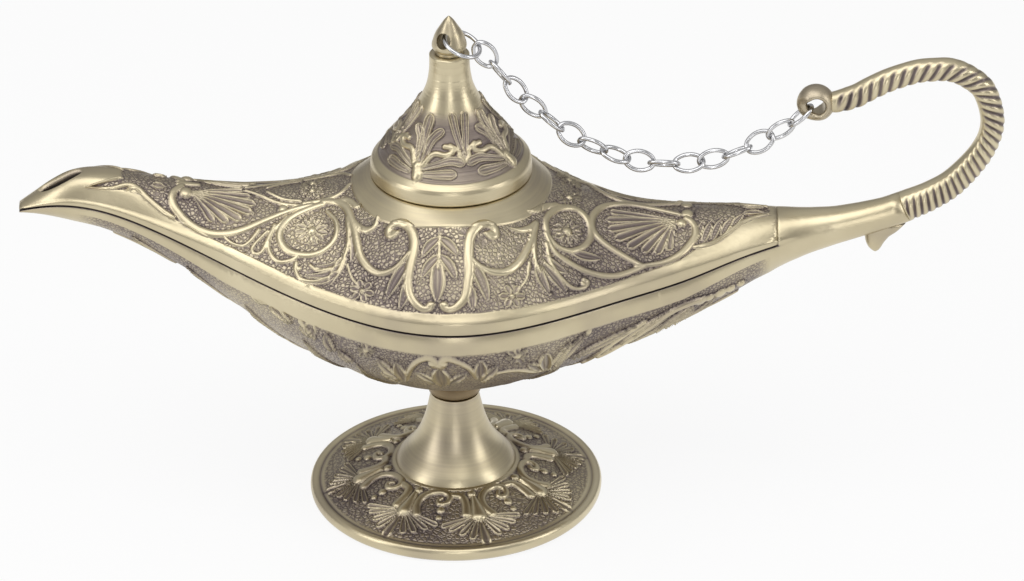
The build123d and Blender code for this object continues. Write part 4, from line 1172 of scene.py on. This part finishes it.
disc.draw([
    ("bead", (471.8, 494.1), 1.0, 0.95),
    ("vine", [(473.7, 499.0), (476.6, 507.0), (479.3, 515.2)], 0.7, 1.7, 1.35, 0.0, "boss"),
    ("vine", [(453.0, 495.4), (462.0, 497.1), (466.1, 504.3), (466.8, 513.9)], 0.8, 1.15, 0.9),
    ("vine", [(492.9, 513.2), (485.2, 507.0), (481.6, 498.9), (485.2, 490.9), (494.1, 486.1), (503.0, 487.3),
     (506.6, 493.2), (502.5, 497.1), (498.2, 495.4), (498.6, 491.8)], 1.05, 0.5, 0.85),
    ("bead", (508.4, 501.1), 0.95, 0.7), ("bead", (513.8, 507.9), 0.75, 0.6),
])
for column, row, wide in shell_tips:
    u = shell_root[0] + shell_start * (column - shell_root[0])
    v = shell_root[1] + shell_start * (row - shell_root[1])
    disc.flute([(u, v), ((u + column) / 2, (v + row) / 2), (column, row)], wide, shell_top)
radius = np.hypot(disc.at[:, 0], disc.at[:, 1])
disc_edge_r, disc_hub_r, groove_r, groove_wide = 28.3, 13.4, 28.85, 0.28
disc_field = unit((disc_edge_r - radius) / 0.5) * unit((radius - disc_hub_r) / 0.4)
disc_relief, disc_sunk = 0.80, 0.22
disc_rise = disc_field * (disc_relief * disc.high - disc_sunk)
disc_tone = np.where(disc.bare > 0, disc.tone * disc_field + 0.80 * (1 - disc_field), disc.tone)
groove = hump(radius, groove_r, groove_wide)
disc_tone = disc_tone * (1 - 0.75 * groove)
top_skin = foot_grid + turned_normals(foot_grid) * disc_rise.reshape(foot_grid.shape[:2])[..., None]
foot_under = [
    (7.0, 6.2), (2.8, 6.1), (2.8, 3.5), (8.0, 3.5), (8.0, 5.1), (13.2, 5.1), (27.3, 1.4), (27.55, 1.2),
    (27.55, 0.15), (27.7, 0.0), (29.6, 0.0), (29.95, 0.1),
]
underside = turned_grid(foot_under, foot_turns)
marks = turned_marks(top_skin, underside, disc_tone, disc.bare * disc_field, 0.4)
cast_foot_brass = brass("cast_foot_brass", pebbles=1100.0)
foot = grid_piece("foot_disc", np.concatenate([top_skin, underside], 1), marks, cast_foot_brass)
thinned(foot)
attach(foot, "base")
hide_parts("foot")



def coat(node_names, material):
    """One material for CAD meshes that are shown as they are."""
    for node in node_names:
        nodes[node].data.materials.clear()
        nodes[node].data.materials.append(material)


def plain_metal(name, colour, rough, scratch):
    """Bare or plated metal with faint wear."""
    stuff, tree, skin = new_material(name)
    skin.inputs["Metallic"].default_value = 1.0
    skin.inputs["Base Color"].default_value = (*colour, 1)
    place = add_node(tree, "TexCoord").outputs["Object"]
    wear = add_node(tree, "TexNoise", {"Scale": scratch, "Detail": 3.0, "Vector": place}).outputs["Fac"]
    gloss = add_node(tree, "MapRange", {"To Min": rough * 0.7, "To Max": rough * 1.3, "Value": wear})
    tree.links.new(gloss.outputs[0], skin.inputs["Roughness"])
    return stuff


# Stem, finial and the rivet under it: turned brass, left with the marks of the cutting tool.
coat(("stem", "finial", "finial_rivet"), turned_brass)

# Chain and finial ring: round wire, each link bent and closed, plated bright like tin or nickel.
plating = plain_metal("chain_plating", (0.62, 0.62, 0.63), 0.24, 150.0)
wire_r, crown_r, crown_off, side_off = 0.45, 1.55, 1.5, 2.0
crown_turn = math.atan2(side_off, crown_off)
side_r = crown_r + math.hypot(crown_off, side_off)


def arc(centre, r, start, end, steps):
    """Points along an arc, without its last one."""
    a = np.linspace(start, end, steps, endpoint=False)
    return np.stack([centre[0] + r * np.cos(a), centre[1] + r * np.sin(a)], -1)


half_oval = np.concatenate([
    arc((crown_off, 0), crown_r, -crown_turn, crown_turn, 16),
    arc((0, -side_off), side_r, crown_turn, math.pi - crown_turn, 16),
])
oval = np.concatenate([half_oval, -half_oval])
circle = arc((0, 0), 1.0, 0, 2 * math.pi, 48)


def drawn_wire(name, node, body, loop=None):
    """A closed loop of round wire where the CAD link lies."""
    points = np.unique(np.array([v.co[:] for v in nodes[node].data.vertices]).round(7), axis=0) / MM
    middle = (points.min(0) + points.max(0)) / 2
    _, axes = np.linalg.eigh(np.cov((points - middle).T))
    long_way, wide_way = axes[:, 2], axes[:, 1]
    across = np.cross(long_way, wide_way)
    if loop is None:
        loop = circle * (np.abs((points - middle) @ long_way).max() - wire_r)
    along = np.roll(loop, -1, 0) - np.roll(loop, 1, 0)
    along /= np.linalg.norm(along, axis=1)[:, None]
    out = np.stack([along[:, 1], -along[:, 0]], -1)
    a = np.linspace(0, 2 * math.pi, 16, endpoint=False)
    flat = loop[:, None] + wire_r * out[:, None] * np.cos(a)[None, :, None]
    skin = middle + flat[:, :, :1] * long_way + flat[:, :, 1:] * wide_way
    skin = skin + (wire_r * np.sin(a))[None, :, None] * across
    wire = grid_piece(name, skin, {}, plating)
    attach(wire, body)
    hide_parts(node)


drawn_wire("finial_ring_wire", "finial_ring", "link_01_ring")
drawn_wire("link_wire_01", "link_01", "link_01_ring", oval)
for k in range(2, 17):
    head = 3 * ((k - 2) // 3) + 4
    drawn_wire(f"link_wire_{k:02d}", f"link_{k:02d}", f"links_{head:02d}_{head - 2:02d}", oval)

# Screw, washer and pin: plain steel, seen only from under the foot or with the cover away.
steel = plain_metal("screw_steel", (0.45, 0.45, 0.46), 0.34, 400.0)
coat(("clamp_screw", "clamp_washer", "locating_pin"), steel)
